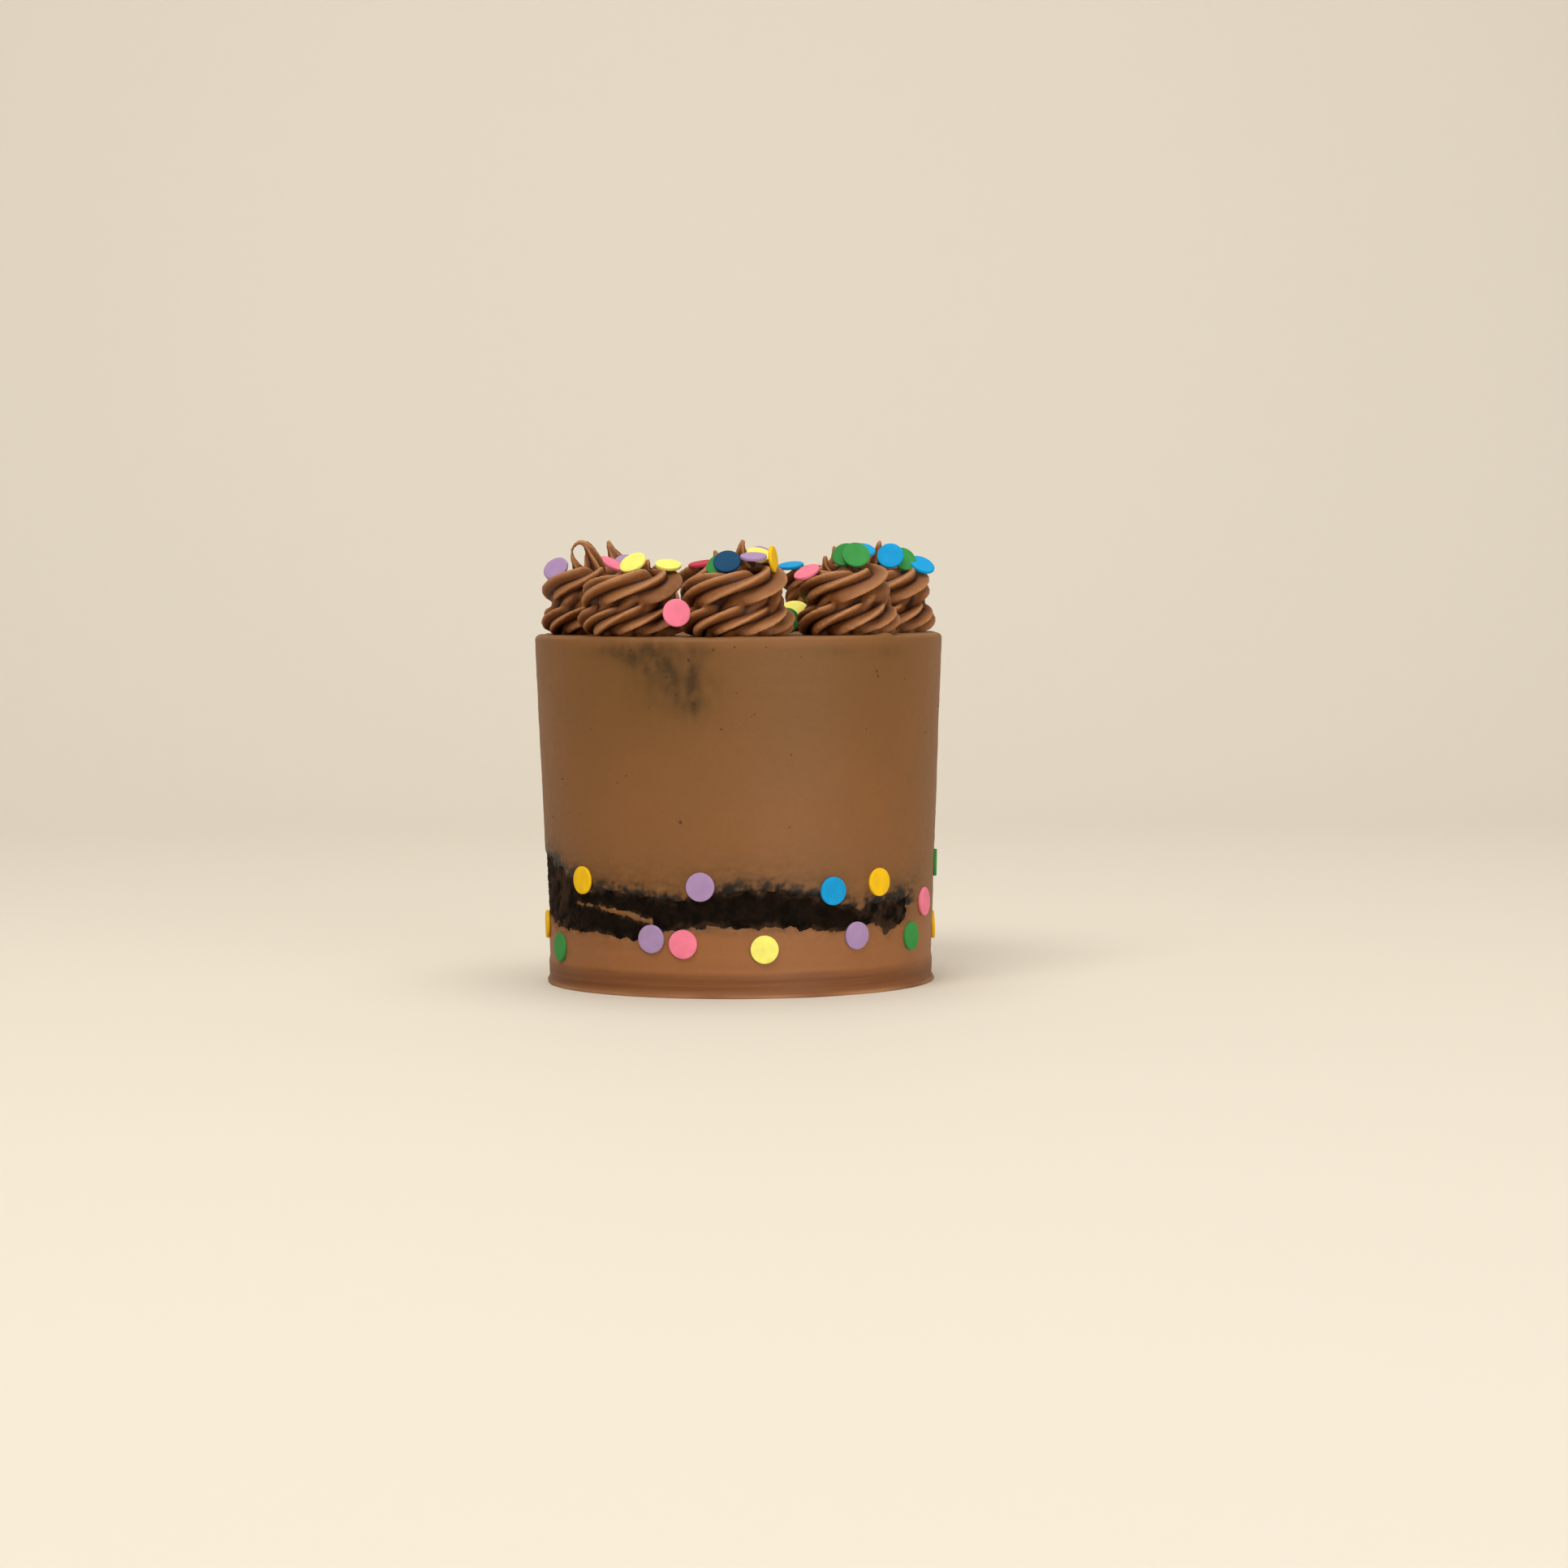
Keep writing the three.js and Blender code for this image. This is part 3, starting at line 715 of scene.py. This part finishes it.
def inside_band(turn, height):
    """Millimetres inside the bare band at each place, below 0 where the coat covers."""
    turn, height = np.broadcast_arrays(np.asarray(turn, float), np.asarray(height, float))
    points = around(turn, ARC_RADIUS, height)
    inside = np.minimum(curve(SPONGE_TOP, turn) - height, height - curve(SPONGE_BOTTOM, turn))
    ends = np.minimum(turn - BARE_FROM, BARE_TO - turn) * DEGREE_ARC
    ragged = RAGGED_WIDE * noise_at(points, 3.2, 1) + RAGGED_FINE * noise_at(points, 1.1, 2)
    ragged = ragged + 0.5 * RAGGED_WIDE * noise_at(points, 9.0, 3)
    inside = np.minimum(inside, ends) + ragged
    streak = np.abs(height - curve(STREAK, turn) + 0.7 * noise_at(points, 4.0, 4))
    swell = STREAK_THIN + STREAK_SWELL * ease(STREAK[0][0], STREAK[-2][0], turn)
    streak = streak - STREAK_HALF * (swell + 0.8 * noise_at(points, 2.6, 5))
    streak = streak + 0.6 * noise_at(points, 0.9, 7)
    along = (turn > STREAK[0][0]) & (turn < STREAK[-1][0])
    inside = np.where(along, np.minimum(inside, streak * 1.6), inside)
    patchy = ease(*PATCHY_TURNS, turn) * 1.9 * np.clip(noise_at(points, 2.2, 6) - 0.12, 0, 1)
    return inside - 2.2 * patchy


def coat_rows():
    """Heights of the side's rows, close together over the band."""
    low = np.arange(0.5, BAND_ROWS[0], SMUDGE_ROW)
    band = np.arange(BAND_ROWS[0], BAND_ROWS[1], FINE_ROW)
    middle = np.arange(BAND_ROWS[1], SMUDGE_FROM, COARSE_ROW)
    high = np.arange(SMUDGE_FROM, CAKE_HEIGHT - RIM_ROUNDING, SMUDGE_ROW)
    return np.concatenate([[0.0, 0.2], low, band, middle, high])


def side_relief(turn, height):
    """How far the side stands out from its plain shape."""
    points = around(turn, ARC_RADIUS, height)
    relief = 0.22 * noise_at(points, 34.0, 11) + 0.08 * noise_at(points, 9.0, 12)
    level = points * np.array([0.08, 0.08, 1.0])
    relief = relief + 0.07 * noise_at(level, 2.6, 13) + 0.03 * noise_at(points, 1.3, 14)
    relief = relief + humps(FOOT_LINES, height)
    return relief + humps(FOOT_EDGE, height) * (1 + 0.6 * noise_at(points, 7.0, 15))


def rim_lift(turn):
    """Height that the rim stands above or below the flat top."""
    points = around(turn, TOP_RADIUS, 0.0)
    lift = 0.28 * noise_at(points, 11.0, 21) + 0.14 * noise_at(points, 3.2, 22)
    return lift + humps(RIM_HUMPS, turn)


def stains(turn, height):
    """Share of sponge colour that shows through the thin patch under the rim."""
    points = around(turn, ARC_RADIUS, height)
    total = np.zeros(np.shape(height))
    for at_turn, at_height, half_wide, half_tall, strength in SMUDGE:
        wide = (turn - at_turn) * DEGREE_ARC / half_wide
        tall = (height - at_height) / half_tall
        total = 1 - (1 - total) * (1 - strength * np.exp(-(wide**2 + tall**2)))
    drawn = points * np.array([1.0, 1.0, 0.55])
    clouds = 0.9 + 0.75 * noise_at(drawn, 2.4, 31) + 0.3 * noise_at(points, 1.1, 32)
    return np.clip(total * np.clip(clouds, 0, 1.3), 0, 1)


def smears(turn, height, band):
    """Share of sponge that the scraper dragged into the coat round the band."""
    places = around(turn, ARC_RADIUS, height)
    drawn = places * np.array([0.45, 0.45, 1.0])
    clouds = 0.9 + 0.7 * noise_at(drawn, 1.5, 41) + 0.5 * noise_at(places, 1.1, 45)
    clouds = clouds + 0.5 * noise_at(places, 10.0, 43)
    above = np.where(height > curve(SPONGE_TOP, turn) - 2, 1.0, SMEAR_BELOW)
    reach = np.exp(-np.clip(-band, 0, FAR_FROM_BAND) / (SMEAR_REACH * above))
    return np.clip(SMEAR_STRENGTH * (reach * np.clip(clouds, 0, 1.2) * above), 0, 1)


def shading(turn, height):
    """Share of the darker tone that the coat takes towards the rim, most of all in front."""
    drawn = around(turn, ARC_RADIUS, height) * np.array([1.0, 1.0, 0.6])
    clouds = 0.75 + 0.3 * noise_at(drawn, 22.0, 44)
    share = ease(*SHADED_HEIGHTS, height) * ease(*SHADED_RIM, height)
    return np.clip(share * ease(*SHADED_TURNS, np.abs(turn)) * clouds, 0, 1)


def rim_rings(turns, lift):
    """Rings of the rounded rim, with the side's relief carried over it."""
    wave = side_relief(turns, np.full(len(turns), CAKE_HEIGHT - RIM_ROUNDING))
    rings = []
    for step in range(RIM_ROWS + 1):
        angle = math.pi / 2 * step / RIM_ROWS
        reach = TOP_RADIUS - RIM_ROUNDING * (1 - math.cos(angle))
        level = CAKE_HEIGHT - RIM_ROUNDING * (1 - math.sin(angle)) + lift * math.sin(angle)
        rings.append(around(turns, reach * roundness(turns) + wave, level))
    return np.array(rings)


def top_rings(turns, lift):
    """Rings of the flat top, into which the rim's lift fades."""
    rings = []
    for step in range(1, TOP_RINGS):
        share = (step / TOP_RINGS) ** TOP_RING_SPREAD
        reach = (TOP_RADIUS - RIM_ROUNDING) * (1 - share) * roundness(turns)
        flat = around(turns, reach, CAKE_HEIGHT)
        flat[:, 2] += lift * max(0.0, 1 - share * 9) - 0.05
        rings.append(flat)
    return np.array(rings)


def make_coat():
    turns = np.arange(COAT_COLUMNS) * 360.0 / COAT_COLUMNS - 180.0
    turn, height = np.meshgrid(turns, coat_rows())
    band = inside_band(turn, height)
    near_band = (height > BAND_ROWS[0]) & (height < BAND_ROWS[1] + BAND_REACH)
    band = np.where(near_band, band, -FAR_FROM_BAND)
    radius = side_radius(height, turn) + side_relief(turn, height)
    radius -= SPONGE_SINK * ease(-COAT_LIP, 0.0, band) + BAND_RECESS * ease(-0.1, 0.7, band)
    side = around(turn, radius, height)
    lift = rim_lift(turns)
    under = np.array([around(turns, radius[0] * share, 0.0) for share in UNDERSIDE_RINGS])
    rings = [under, side, rim_rings(turns, lift), top_rings(turns, lift)]
    mesh = make_mesh("coat", *closed_grid(np.concatenate(rings)))
    first = len(under) * COAT_COLUMNS
    edge = height + 0.5 * noise_at(around(turn, ARC_RADIUS, height), 12.0, 42)
    # Painted highlight along the foot, its upper edge ragged
    foot_highlight = 0.75 * ease(*FOOT_HIGHLIGHT_HEIGHTS, height) * ease(-0.6, 0.4, edge - height)
    rim_turns = np.tile(turns, RIM_ROWS + 1)
    rim_heights = np.full(len(rim_turns), CAKE_HEIGHT - RIM_STAIN_DEPTH)
    rim_stain = stains(rim_turns, rim_heights) * RIM_STAIN_SHARE
    stain = np.concatenate([stains(turn, height).ravel(), rim_stain])
    set_values(mesh, "smear", smears(turn, height, band), first)
    set_values(mesh, "stain", stain, first)
    set_values(mesh, "foot", ease(*FOOT_FADE, edge), first)
    set_values(mesh, "foot_highlight", foot_highlight, first)
    # Painted bounce light, full below the lower height and gone above the upper
    set_values(mesh, "bounce_light", ease(*BOUNCE_LIGHT_HEIGHTS, height), first)
    set_values(mesh, "shaded", shading(turn, height), first)
    return add_piece("buttercream_coat", mesh, coat_material(), "buttercream", "cake_body")


# Sponge layer


def make_sponge(material):
    turns = np.arange(SPONGE_COLUMNS) * 360.0 / SPONGE_COLUMNS - 180.0
    low = curve(SPONGE_BOTTOM, turns) - SPONGE_OVERLAP
    high = curve(SPONGE_TOP, turns) + SPONGE_OVERLAP
    shares = np.linspace(0, 1, SPONGE_ROWS)[:, None]
    turn = np.broadcast_to(turns, (SPONGE_ROWS, SPONGE_COLUMNS))
    height = low * (1 - shares) + high * shares
    inside = inside_band(turn, height)
    plain = around(turn, ARC_RADIUS, height)
    crumb = 0.6 * noise_at(plain, 1.5, 51) + 0.4 * noise_at(plain, 0.75, 52)
    crumb += 0.25 * noise_at(plain, 4.0, 53)
    radius = side_radius(height, turn) - SPONGE_SINK + CRUMB_RELIEF * (crumb - 0.25)
    ends = np.minimum(turn - BARE_FROM, BARE_TO - turn) * DEGREE_ARC
    covered = side_radius(height, turn) - SPONGE_COVER
    bare = radius - SPONGE_PULL * ease(-0.2, -1.4, inside)
    rings = around(turn, np.where(ends > -SPONGE_MARGIN, bare, covered), height)
    hidden = [around(turns, HIDDEN_RADIUS, low * 0 + level)[None] for level in HIDDEN_HEIGHTS]
    mesh = make_mesh("sponge", *closed_grid(np.concatenate([hidden[0], rings, hidden[1]])))
    smear = 0.1 + 0.6 * ease(1.8, 0.0, inside) + 0.6 * ease(*GREY_LEFT, turn)
    smear = smear + 0.4 * ease(*GREY_RIGHT, turn)
    set_values(mesh, "smear", np.clip(smear, 0, 1), SPONGE_COLUMNS)
    return add_piece("sponge_layer_crumb", mesh, material, "sponge", "sponge_layer")


# Piped rosettes


def rope_station(place, column):
    """A column of the rope's table at places along the rope, straight between its rows."""
    return np.interp(place, ROPE[:, 0], ROPE[:, column])


def smooth_station(place, column):
    """A column of the rope's table, eased over its corners."""
    offsets = np.linspace(-ROPE_EASING, ROPE_EASING, 9)
    spread = [rope_station(place + offset, column) for offset in offsets]
    eased = np.mean(spread, axis=0)
    ends = ease(20, 40, place) * ease(ROPE[-1, 0], ROPE[-1, 0] - 20, place)
    return ends * eased + (1 - ends) * rope_station(place, column)


def rope_middle(place, start, tip):
    angle = np.radians(place + start)
    lean = ease(LEAN_FROM, ROPE[-1, 0], place)
    radius = smooth_station(place, 1)
    return np.stack([
        radius * np.cos(angle) + lean * tip[0],
        radius * np.sin(angle) + lean * tip[1],
        smooth_station(place, 2) + lean * tip[2],
    ], axis=-1)


def star_sections(middle, ahead, out, wide, tall, turned, seed):
    """Rings of a ridged section about a path, with ridges that differ a little."""
    out = out - ahead * np.sum(out * ahead, axis=1, keepdims=True)
    out /= np.linalg.norm(out, axis=1, keepdims=True)
    up = np.cross(out, ahead)
    section = np.arange(ROPE_COLUMNS) / ROPE_COLUMNS
    place = (section * ROPE_RIDGES) % 1
    near_ridge = np.where(place < CREST_PLACE, place / CREST_PLACE, (1 - place) / (1 - CREST_PLACE))
    draw = random.Random(seed)
    own = [draw.uniform(*RIDGE_SPREAD) for _ in range(ROPE_RIDGES)]
    ridge = np.floor(section * ROPE_RIDGES).astype(int) % ROPE_RIDGES
    crest = np.array(own)[ridge]
    rounded = near_ridge * (1 + CREST_ROUND * (1 - near_ridge))
    reach = RIDGE_FLOOR + (crest - RIDGE_FLOOR) * rounded
    angle = 2 * math.pi * section[None, :] + np.radians(turned)[:, None]
    across = (wide[:, None] * reach * np.cos(angle))[..., None] * out[:, None, :]
    rising = (tall[:, None] * reach * np.sin(angle))[..., None] * up[:, None, :]
    return middle[:, None, :] + across + rising


def rope_piece(first, last, start, tip, seed):
    place = np.linspace(first, last, max(4, int((last - first) / ROPE_STEP)))
    middle = rope_middle(place, start, tip)
    ahead = rope_middle(place + 0.5, start, tip) - rope_middle(place - 0.5, start, tip)
    ahead /= np.linalg.norm(ahead, axis=1, keepdims=True)
    angle = np.radians(place + start)
    out = np.stack([np.cos(angle), np.sin(angle), 0 * angle], axis=-1)
    low = np.minimum(place, TWIST_CHANGE)
    turned = LOW_TWIST * low + HIGH_TWIST * (place - low)
    wide, tall = smooth_station(place, 3), smooth_station(place, 4)
    rings = star_sections(middle, ahead, out, wide, tall, turned, seed)
    return closed_grid(rings[::-1])


def curl_piece(seed):
    """The pulled peak, thick where it leaves the swirl and thin where it loops over."""
    rows = np.linspace(0, len(CURL_PATH) - 1, CURL_STEPS)
    table = np.array([np.interp(rows, range(len(CURL_PATH)), CURL_PATH[:, i]) for i in range(3)])
    span = 2 * CURL_EASING + 1
    kernel = np.ones(span) / span
    padded = np.pad(table, ((0, 0), (CURL_EASING, CURL_EASING)), mode="edge")
    across, height, half = [np.convolve(line, kernel, "valid") for line in padded]
    middle = np.stack([across, 0 * across - CURL_AHEAD, height], axis=-1)
    ahead = np.gradient(middle, axis=0)
    ahead /= np.linalg.norm(ahead, axis=1, keepdims=True)
    out = np.tile(np.array([0.0, -1.0, 0.0]), (len(rows), 1))
    turned = np.linspace(0, CURL_TWIST, len(rows))
    rings = star_sections(middle, ahead, out, half, half, turned, seed)
    return closed_grid(rings[::-1])


def core_piece():
    """The middle of the swirl, with slanting ridges where it shows between two turns of rope."""
    turns = np.arange(CORE_COLUMNS) * 360.0 / CORE_COLUMNS
    rings = []
    for height in np.linspace(CORE[0, 1], CORE[-1, 1], CORE_RINGS):
        radius = np.interp(height, CORE[:, 1], CORE[:, 0])
        ridge = np.abs(np.sin(np.radians((turns - CORE_SLANT * height) * CORE_RIDGES / 2)))
        groove = min(CORE_RIDGE_DEPTH, radius / 3) * (1 - ridge)
        rings.append(around(turns, radius - groove, height))
    return closed_grid(np.array(rings))


def joined(parts):
    """Points and faces of several parts as one list."""
    points, faces, total = [], [], 0
    for part_points, part_faces in parts:
        points.append(part_points)
        faces += [tuple(i + total for i in face) for face in part_faces]
        total += len(part_points)
    return np.concatenate(points), faces


def melted(mesh, step):
    """The parts of a mesh run together into one skin."""
    scratch = bpy.data.objects.new("melting", mesh)
    bpy.context.scene.collection.objects.link(scratch)
    modifier = scratch.modifiers.new("melt", "REMESH")
    modifier.mode = "VOXEL"
    modifier.voxel_size = step * MM
    modifier.use_smooth_shade = True
    graph = bpy.context.evaluated_depsgraph_get()
    result = bpy.data.meshes.new_from_object(scratch.evaluated_get(graph))
    bpy.data.objects.remove(scratch)
    return result


def mesh_points(mesh):
    points = np.empty(len(mesh.vertices) * 3, np.float32)
    mesh.vertices.foreach_get("co", points)
    return points.reshape(-1, 3).astype(float) / MM


def store_points(mesh, points):
    mesh.vertices.foreach_set("co", (points * MM).astype(np.float32).ravel())
    mesh.update()


def relaxed(mesh, points, share, rounds):
    """Points drawn towards the middle of their neighbours, which softens the steps of the skin."""
    edges = np.empty(len(mesh.edges) * 2, np.int32)
    mesh.edges.foreach_get("vertices", edges)
    edges = edges.reshape(-1, 2)
    count = np.bincount(edges.ravel(), minlength=len(points))[:, None]
    for _ in range(rounds):
        total = np.zeros_like(points)
        np.add.at(total, edges[:, 0], points[edges[:, 1]])
        np.add.at(total, edges[:, 1], points[edges[:, 0]])
        points = points + share * (total / count - points)
    return points


def make_rosette(name, material):
    turn, start, size, tip = ROSETTES[name]
    seed = int(name.split("_")[1])
    curled = name == CURL_ROSETTE
    stops = [min(stop, CURL_ROPE_END) for stop in ROPE_PIECES] if curled else list(ROPE_PIECES)
    parts = [core_piece()]
    for first, last in zip(stops, stops[1:]):
        if last > first:
            parts.append(rope_piece(first, last, start, tip, seed))
    if curled:
        parts.append(curl_piece(seed))
    points, faces = joined(parts)
    mesh = melted(make_mesh(name, points, faces), REMESH_STEP)
    points = mesh_points(mesh)
    sharp = relaxed(mesh, points, SOFTENING, FIRST_ROUNDS)
    smooth = relaxed(mesh, sharp, SOFTENING, SOFTENING_ROUNDS)
    normals = np.empty(len(mesh.vertices) * 3, np.float32)
    mesh.vertices.foreach_get("normal", normals)
    normals = normals.reshape(-1, 3)
    standing = np.sum((sharp - smooth) * normals, axis=1)
    torn = noise_at(sharp, TEAR_WIDTH, seed) + 0.6 * noise_at(sharp, TEAR_WIDTH / 2.3, seed + 20)
    sharp += normals * (TEAR_DEPTH * torn * ease(*TEAR_RANGE, standing))[:, None]
    sharp[:, 2] = np.maximum(sharp[:, 2], 0)
    centre = around(float(turn), RING_RADIUS, CAKE_HEIGHT - 0.1)
    store_points(mesh, sharp * np.array([size, size, 1.0]) + centre)
    # Painted shade in the grooves, where the skin sinks in
    set_values(mesh, "groove", ease(*GROOVE_SHADE_RANGE, standing))
    # Painted highlight on the crests, where the skin stands out
    set_values(mesh, "crest", ease(*CREST_HIGHLIGHT_RANGE, standing))
    return add_piece(f"{name}_piped", mesh, material, "piped_buttercream", name), centre


# Confetti


def disc_shape(size):
    """Rings of a flat disc with rounded edges, its faces up and down."""
    radius, half = DISC_RADIUS * size, DISC_THICKNESS / 2
    corner = []
    for step in range(DISC_CORNER_STEPS + 1):
        angle = math.pi / 2 * step / DISC_CORNER_STEPS
        corner.append((
            radius - DISC_ROUNDING * (1 - math.cos(angle)),
            half - DISC_ROUNDING * (1 - math.sin(angle)),
        ))
    outline = [(r, -z) for r, z in reversed(corner)] + corner
    inner = outline[0][0] * DISC_INNER
    outline = [(inner, -half)] + outline + [(inner, half)]
    turns = np.arange(DISC_SEGMENTS) * 360.0 / DISC_SEGMENTS
    return closed_grid(np.array([around(turns, r, z) for r, z in outline]))


def uneven(points, seed):
    """A disc's points, a little warped."""
    shift = noise_at(points + seed * 31.0, 5.0, seed % 7)
    points = points.copy()
    points[:, 2] += DISC_WARP * shift
    points[:, :2] *= 1 + 0.012 * shift[:, None]
    return points


class Confetti:
    """Gathers the discs of each colour, so that each colour becomes one mesh."""

    def __init__(self):
        self.parts = {name: [] for name in CONFETTI}
        self.draw = random.Random(DISC_SEED)
        self.count = 0

    def shape(self, size):
        self.count += 1
        points, faces = disc_shape(size * (1 + self.draw.uniform(-SIZE_SPREAD, SIZE_SPREAD)))
        return uneven(points, self.count), faces

    def on_side(self, turn, height, colour):
        points, faces = self.shape(1)
        facing = Euler((math.pi / 2 + self.draw.uniform(-DISC_TILT, DISC_TILT), 0, math.radians(turn)))
        out = side_radius(height, turn) - DISC_SUNK + DISC_THICKNESS / 2
        points = points @ np.array(facing.to_matrix()).T + around(float(turn), out, height)
        self.parts[colour].append((points, faces))

    def on_rosette(self, tree, centre, place):
        colour, across, ahead, tilt, lean, turn = place[:6]
        points, faces = self.shape(TOP_DISC_SIZE)
        facing = Euler([math.radians(a) for a in (tilt, lean, turn)], "XYZ")
        points = points @ np.array(facing.to_matrix()).T + np.array([across, -ahead, 0.0])
        if len(place) > 6:
            level = place[6]
        else:
            level = self.rest_level(tree, centre, points) - DISC_BITE
        self.parts[colour].append((points + centre + np.array([0.0, 0.0, level]), faces))

    def rest_level(self, tree, centre, points):
        """Height at which the disc, lowered from above, first touches the swirl."""
        level = 0.0
        for point in points:
            place = Vector((point + centre) * MM)
            place.z = 1.0
            hit = tree.ray_cast(place, Vector((0, 0, -1)))[0]
            if hit is not None:
                level = max(level, hit.z / MM - centre[2] - point[2])
        return level

    def make_pieces(self):
        for name, parts in self.parts.items():
            points, faces = joined(parts)
            mesh = make_mesh(f"{name}_confetti", points, faces)
            add_piece(f"{name}_confetti", mesh, confetti_material(name, CONFETTI[name]), "confetti")


def repeatable_draws(seed):
    """The same draws between -1 and 1 that place the solid discs at the back."""
    state = seed
    while True:
        state = (state * 16807) % 2147483647
        yield 2 * state / 2147483647 - 1


def back_discs():
    draws = repeatable_draws(BACK_SEED)
    places = []
    for i in range(BACK_DISCS):
        turn = BACK_DISCS_FROM + BACK_DISCS_PITCH * i + BACK_TURN_SPREAD * next(draws)
        height = BACK_ROW_HEIGHTS[i % 2] + BACK_HEIGHT_SPREAD * next(draws)
        places.append((turn, height, BACK_COLOURS[i]))
    return places


# Crumbs in the coat


def crumb_shape(size, seed):
    """A small rough lump."""
    rings = []
    turns = np.arange(SPECK_SIDES) * 360.0 / SPECK_SIDES
    for step in range(1, SPECK_RINGS):
        angle = math.pi * step / SPECK_RINGS
        rings.append(around(turns, size / 2 * math.sin(angle), -size / 2 * math.cos(angle)))
    points, faces = closed_grid(np.array(rings))
    points *= 1 + 0.8 * noise_at(points + seed * 7.0, 0.45, seed % 5)[:, None]
    return points, faces


def make_crumbs():
    draw = random.Random(SPECK_SEED)
    places = list(SPECKS)
    for _ in range(SPARE_SPECKS):
        turn = draw.uniform(-180, 180)
        places.append((turn, draw.uniform(*SPARE_HEIGHTS), draw.uniform(*SPARE_SIZES)))
    parts = []
    for number, (turn, height, size) in enumerate(places):
        points, faces = crumb_shape(size, number)
        points = points * np.array([1.0, 1.0, draw.uniform(*SPECK_STRETCH)])
        shift = side_radius(height, turn) + side_relief(turn, height) - SPECK_SUNK * size
        parts.append((points + around(float(turn), shift, height), faces))
    points, faces = joined(parts)
    mesh = make_mesh("crumbs", points, faces)
    return add_piece("dark_crumbs", mesh, crumb_material(), "sponge")


# Stage, camera and light


def make_stage():
    """A pale floor that sweeps up into a pale wall."""
    profile = [(FLOOR_FRONT, 0.0), (WALL_START, 0.0)]
    for step in range(1, SWEEP_STEPS + 1):
        angle = math.pi / 2 * step / SWEEP_STEPS
        profile.append((
            WALL_START + WALL_SWEEP * math.sin(angle), WALL_SWEEP * (1 - math.cos(angle))
        ))
    profile.append((WALL_START + WALL_SWEEP, WALL_HEIGHT))
    points, faces = [], []
    for number, (back, height) in enumerate(profile):
        points += [(-FLOOR_HALF, back, height), (FLOOR_HALF, back, height)]
        if number:
            low = 2 * number - 2
            faces.append((low, low + 1, low + 3, low + 2))
    mesh = make_mesh("stage", np.array(points), faces)
    material, _, shader = new_material("pale_stage", 0.7)
    shader.inputs["Base Color"].default_value = as_linear(FLOOR_COLOUR)
    mesh.materials.append(material)
    stage = bpy.data.objects.new("stage", mesh)
    bpy.context.scene.collection.objects.link(stage)


def make_camera():
    data = bpy.data.cameras.new("camera")
    data.sensor_width = SENSOR_MM
    data.lens = FOCAL_PIXELS / IMAGE_SIDE * SENSOR_MM
    data.clip_start = 0.05
    data.clip_end = 50
    camera = bpy.data.objects.new("camera", data)
    middle = IMAGE_SIDE / 2
    pitch = math.atan((middle - HORIZON_ROW) / FOCAL_PIXELS)
    yaw = math.atan((middle - AXIS_COLUMN) / FOCAL_PIXELS)
    camera.location = (0, -EYE_DISTANCE * MM, EYE_HEIGHT * MM)
    look = Euler((math.pi / 2 - pitch, 0, -yaw)).to_matrix()
    roll = Euler((0, 0, -math.radians(ROLL_DEGREES))).to_matrix()
    camera.rotation_euler = (look @ roll).to_euler()
    bpy.context.scene.collection.objects.link(camera)
    bpy.context.scene.camera = camera


def add_light(name, place, target, size, power, colour):
    data = bpy.data.lights.new(name, "AREA")
    data.shape = "RECTANGLE"
    data.size, data.size_y = size
    data.energy = power
    data.color = colour
    lamp = bpy.data.objects.new(name, data)
    lamp.location = place
    aim = Vector(target) - Vector(place)
    lamp.rotation_euler = aim.to_track_quat("-Z", "Y").to_euler()
    bpy.context.scene.collection.objects.link(lamp)


def make_light():
    for name, row in LIGHTS.items():
        add_light(name, *row)
    world = bpy.data.worlds.new("soft_room")
    world.use_nodes = True
    sky = world.node_tree.nodes["Background"]
    sky.inputs["Color"].default_value = ROOM_COLOUR
    sky.inputs["Strength"].default_value = ROOM_STRENGTH
    bpy.context.scene.world = world
    bpy.context.scene.view_settings.view_transform = "Standard"


make_camera()
make_stage()
make_light()
make_coat()
make_sponge(sponge_material())
make_crumbs()

confetti = Confetti()
for place in SIDE_DISCS + back_discs():
    confetti.on_side(*place)
piped_finish = piped_material()
for name in ROSETTES:
    rosette, centre = make_rosette(name, piped_finish)
    surface = BVHTree.FromObject(rosette, bpy.context.evaluated_depsgraph_get())
    for place in TOP_DISCS[name]:
        confetti.on_rosette(surface, centre, place)
confetti.make_pieces()

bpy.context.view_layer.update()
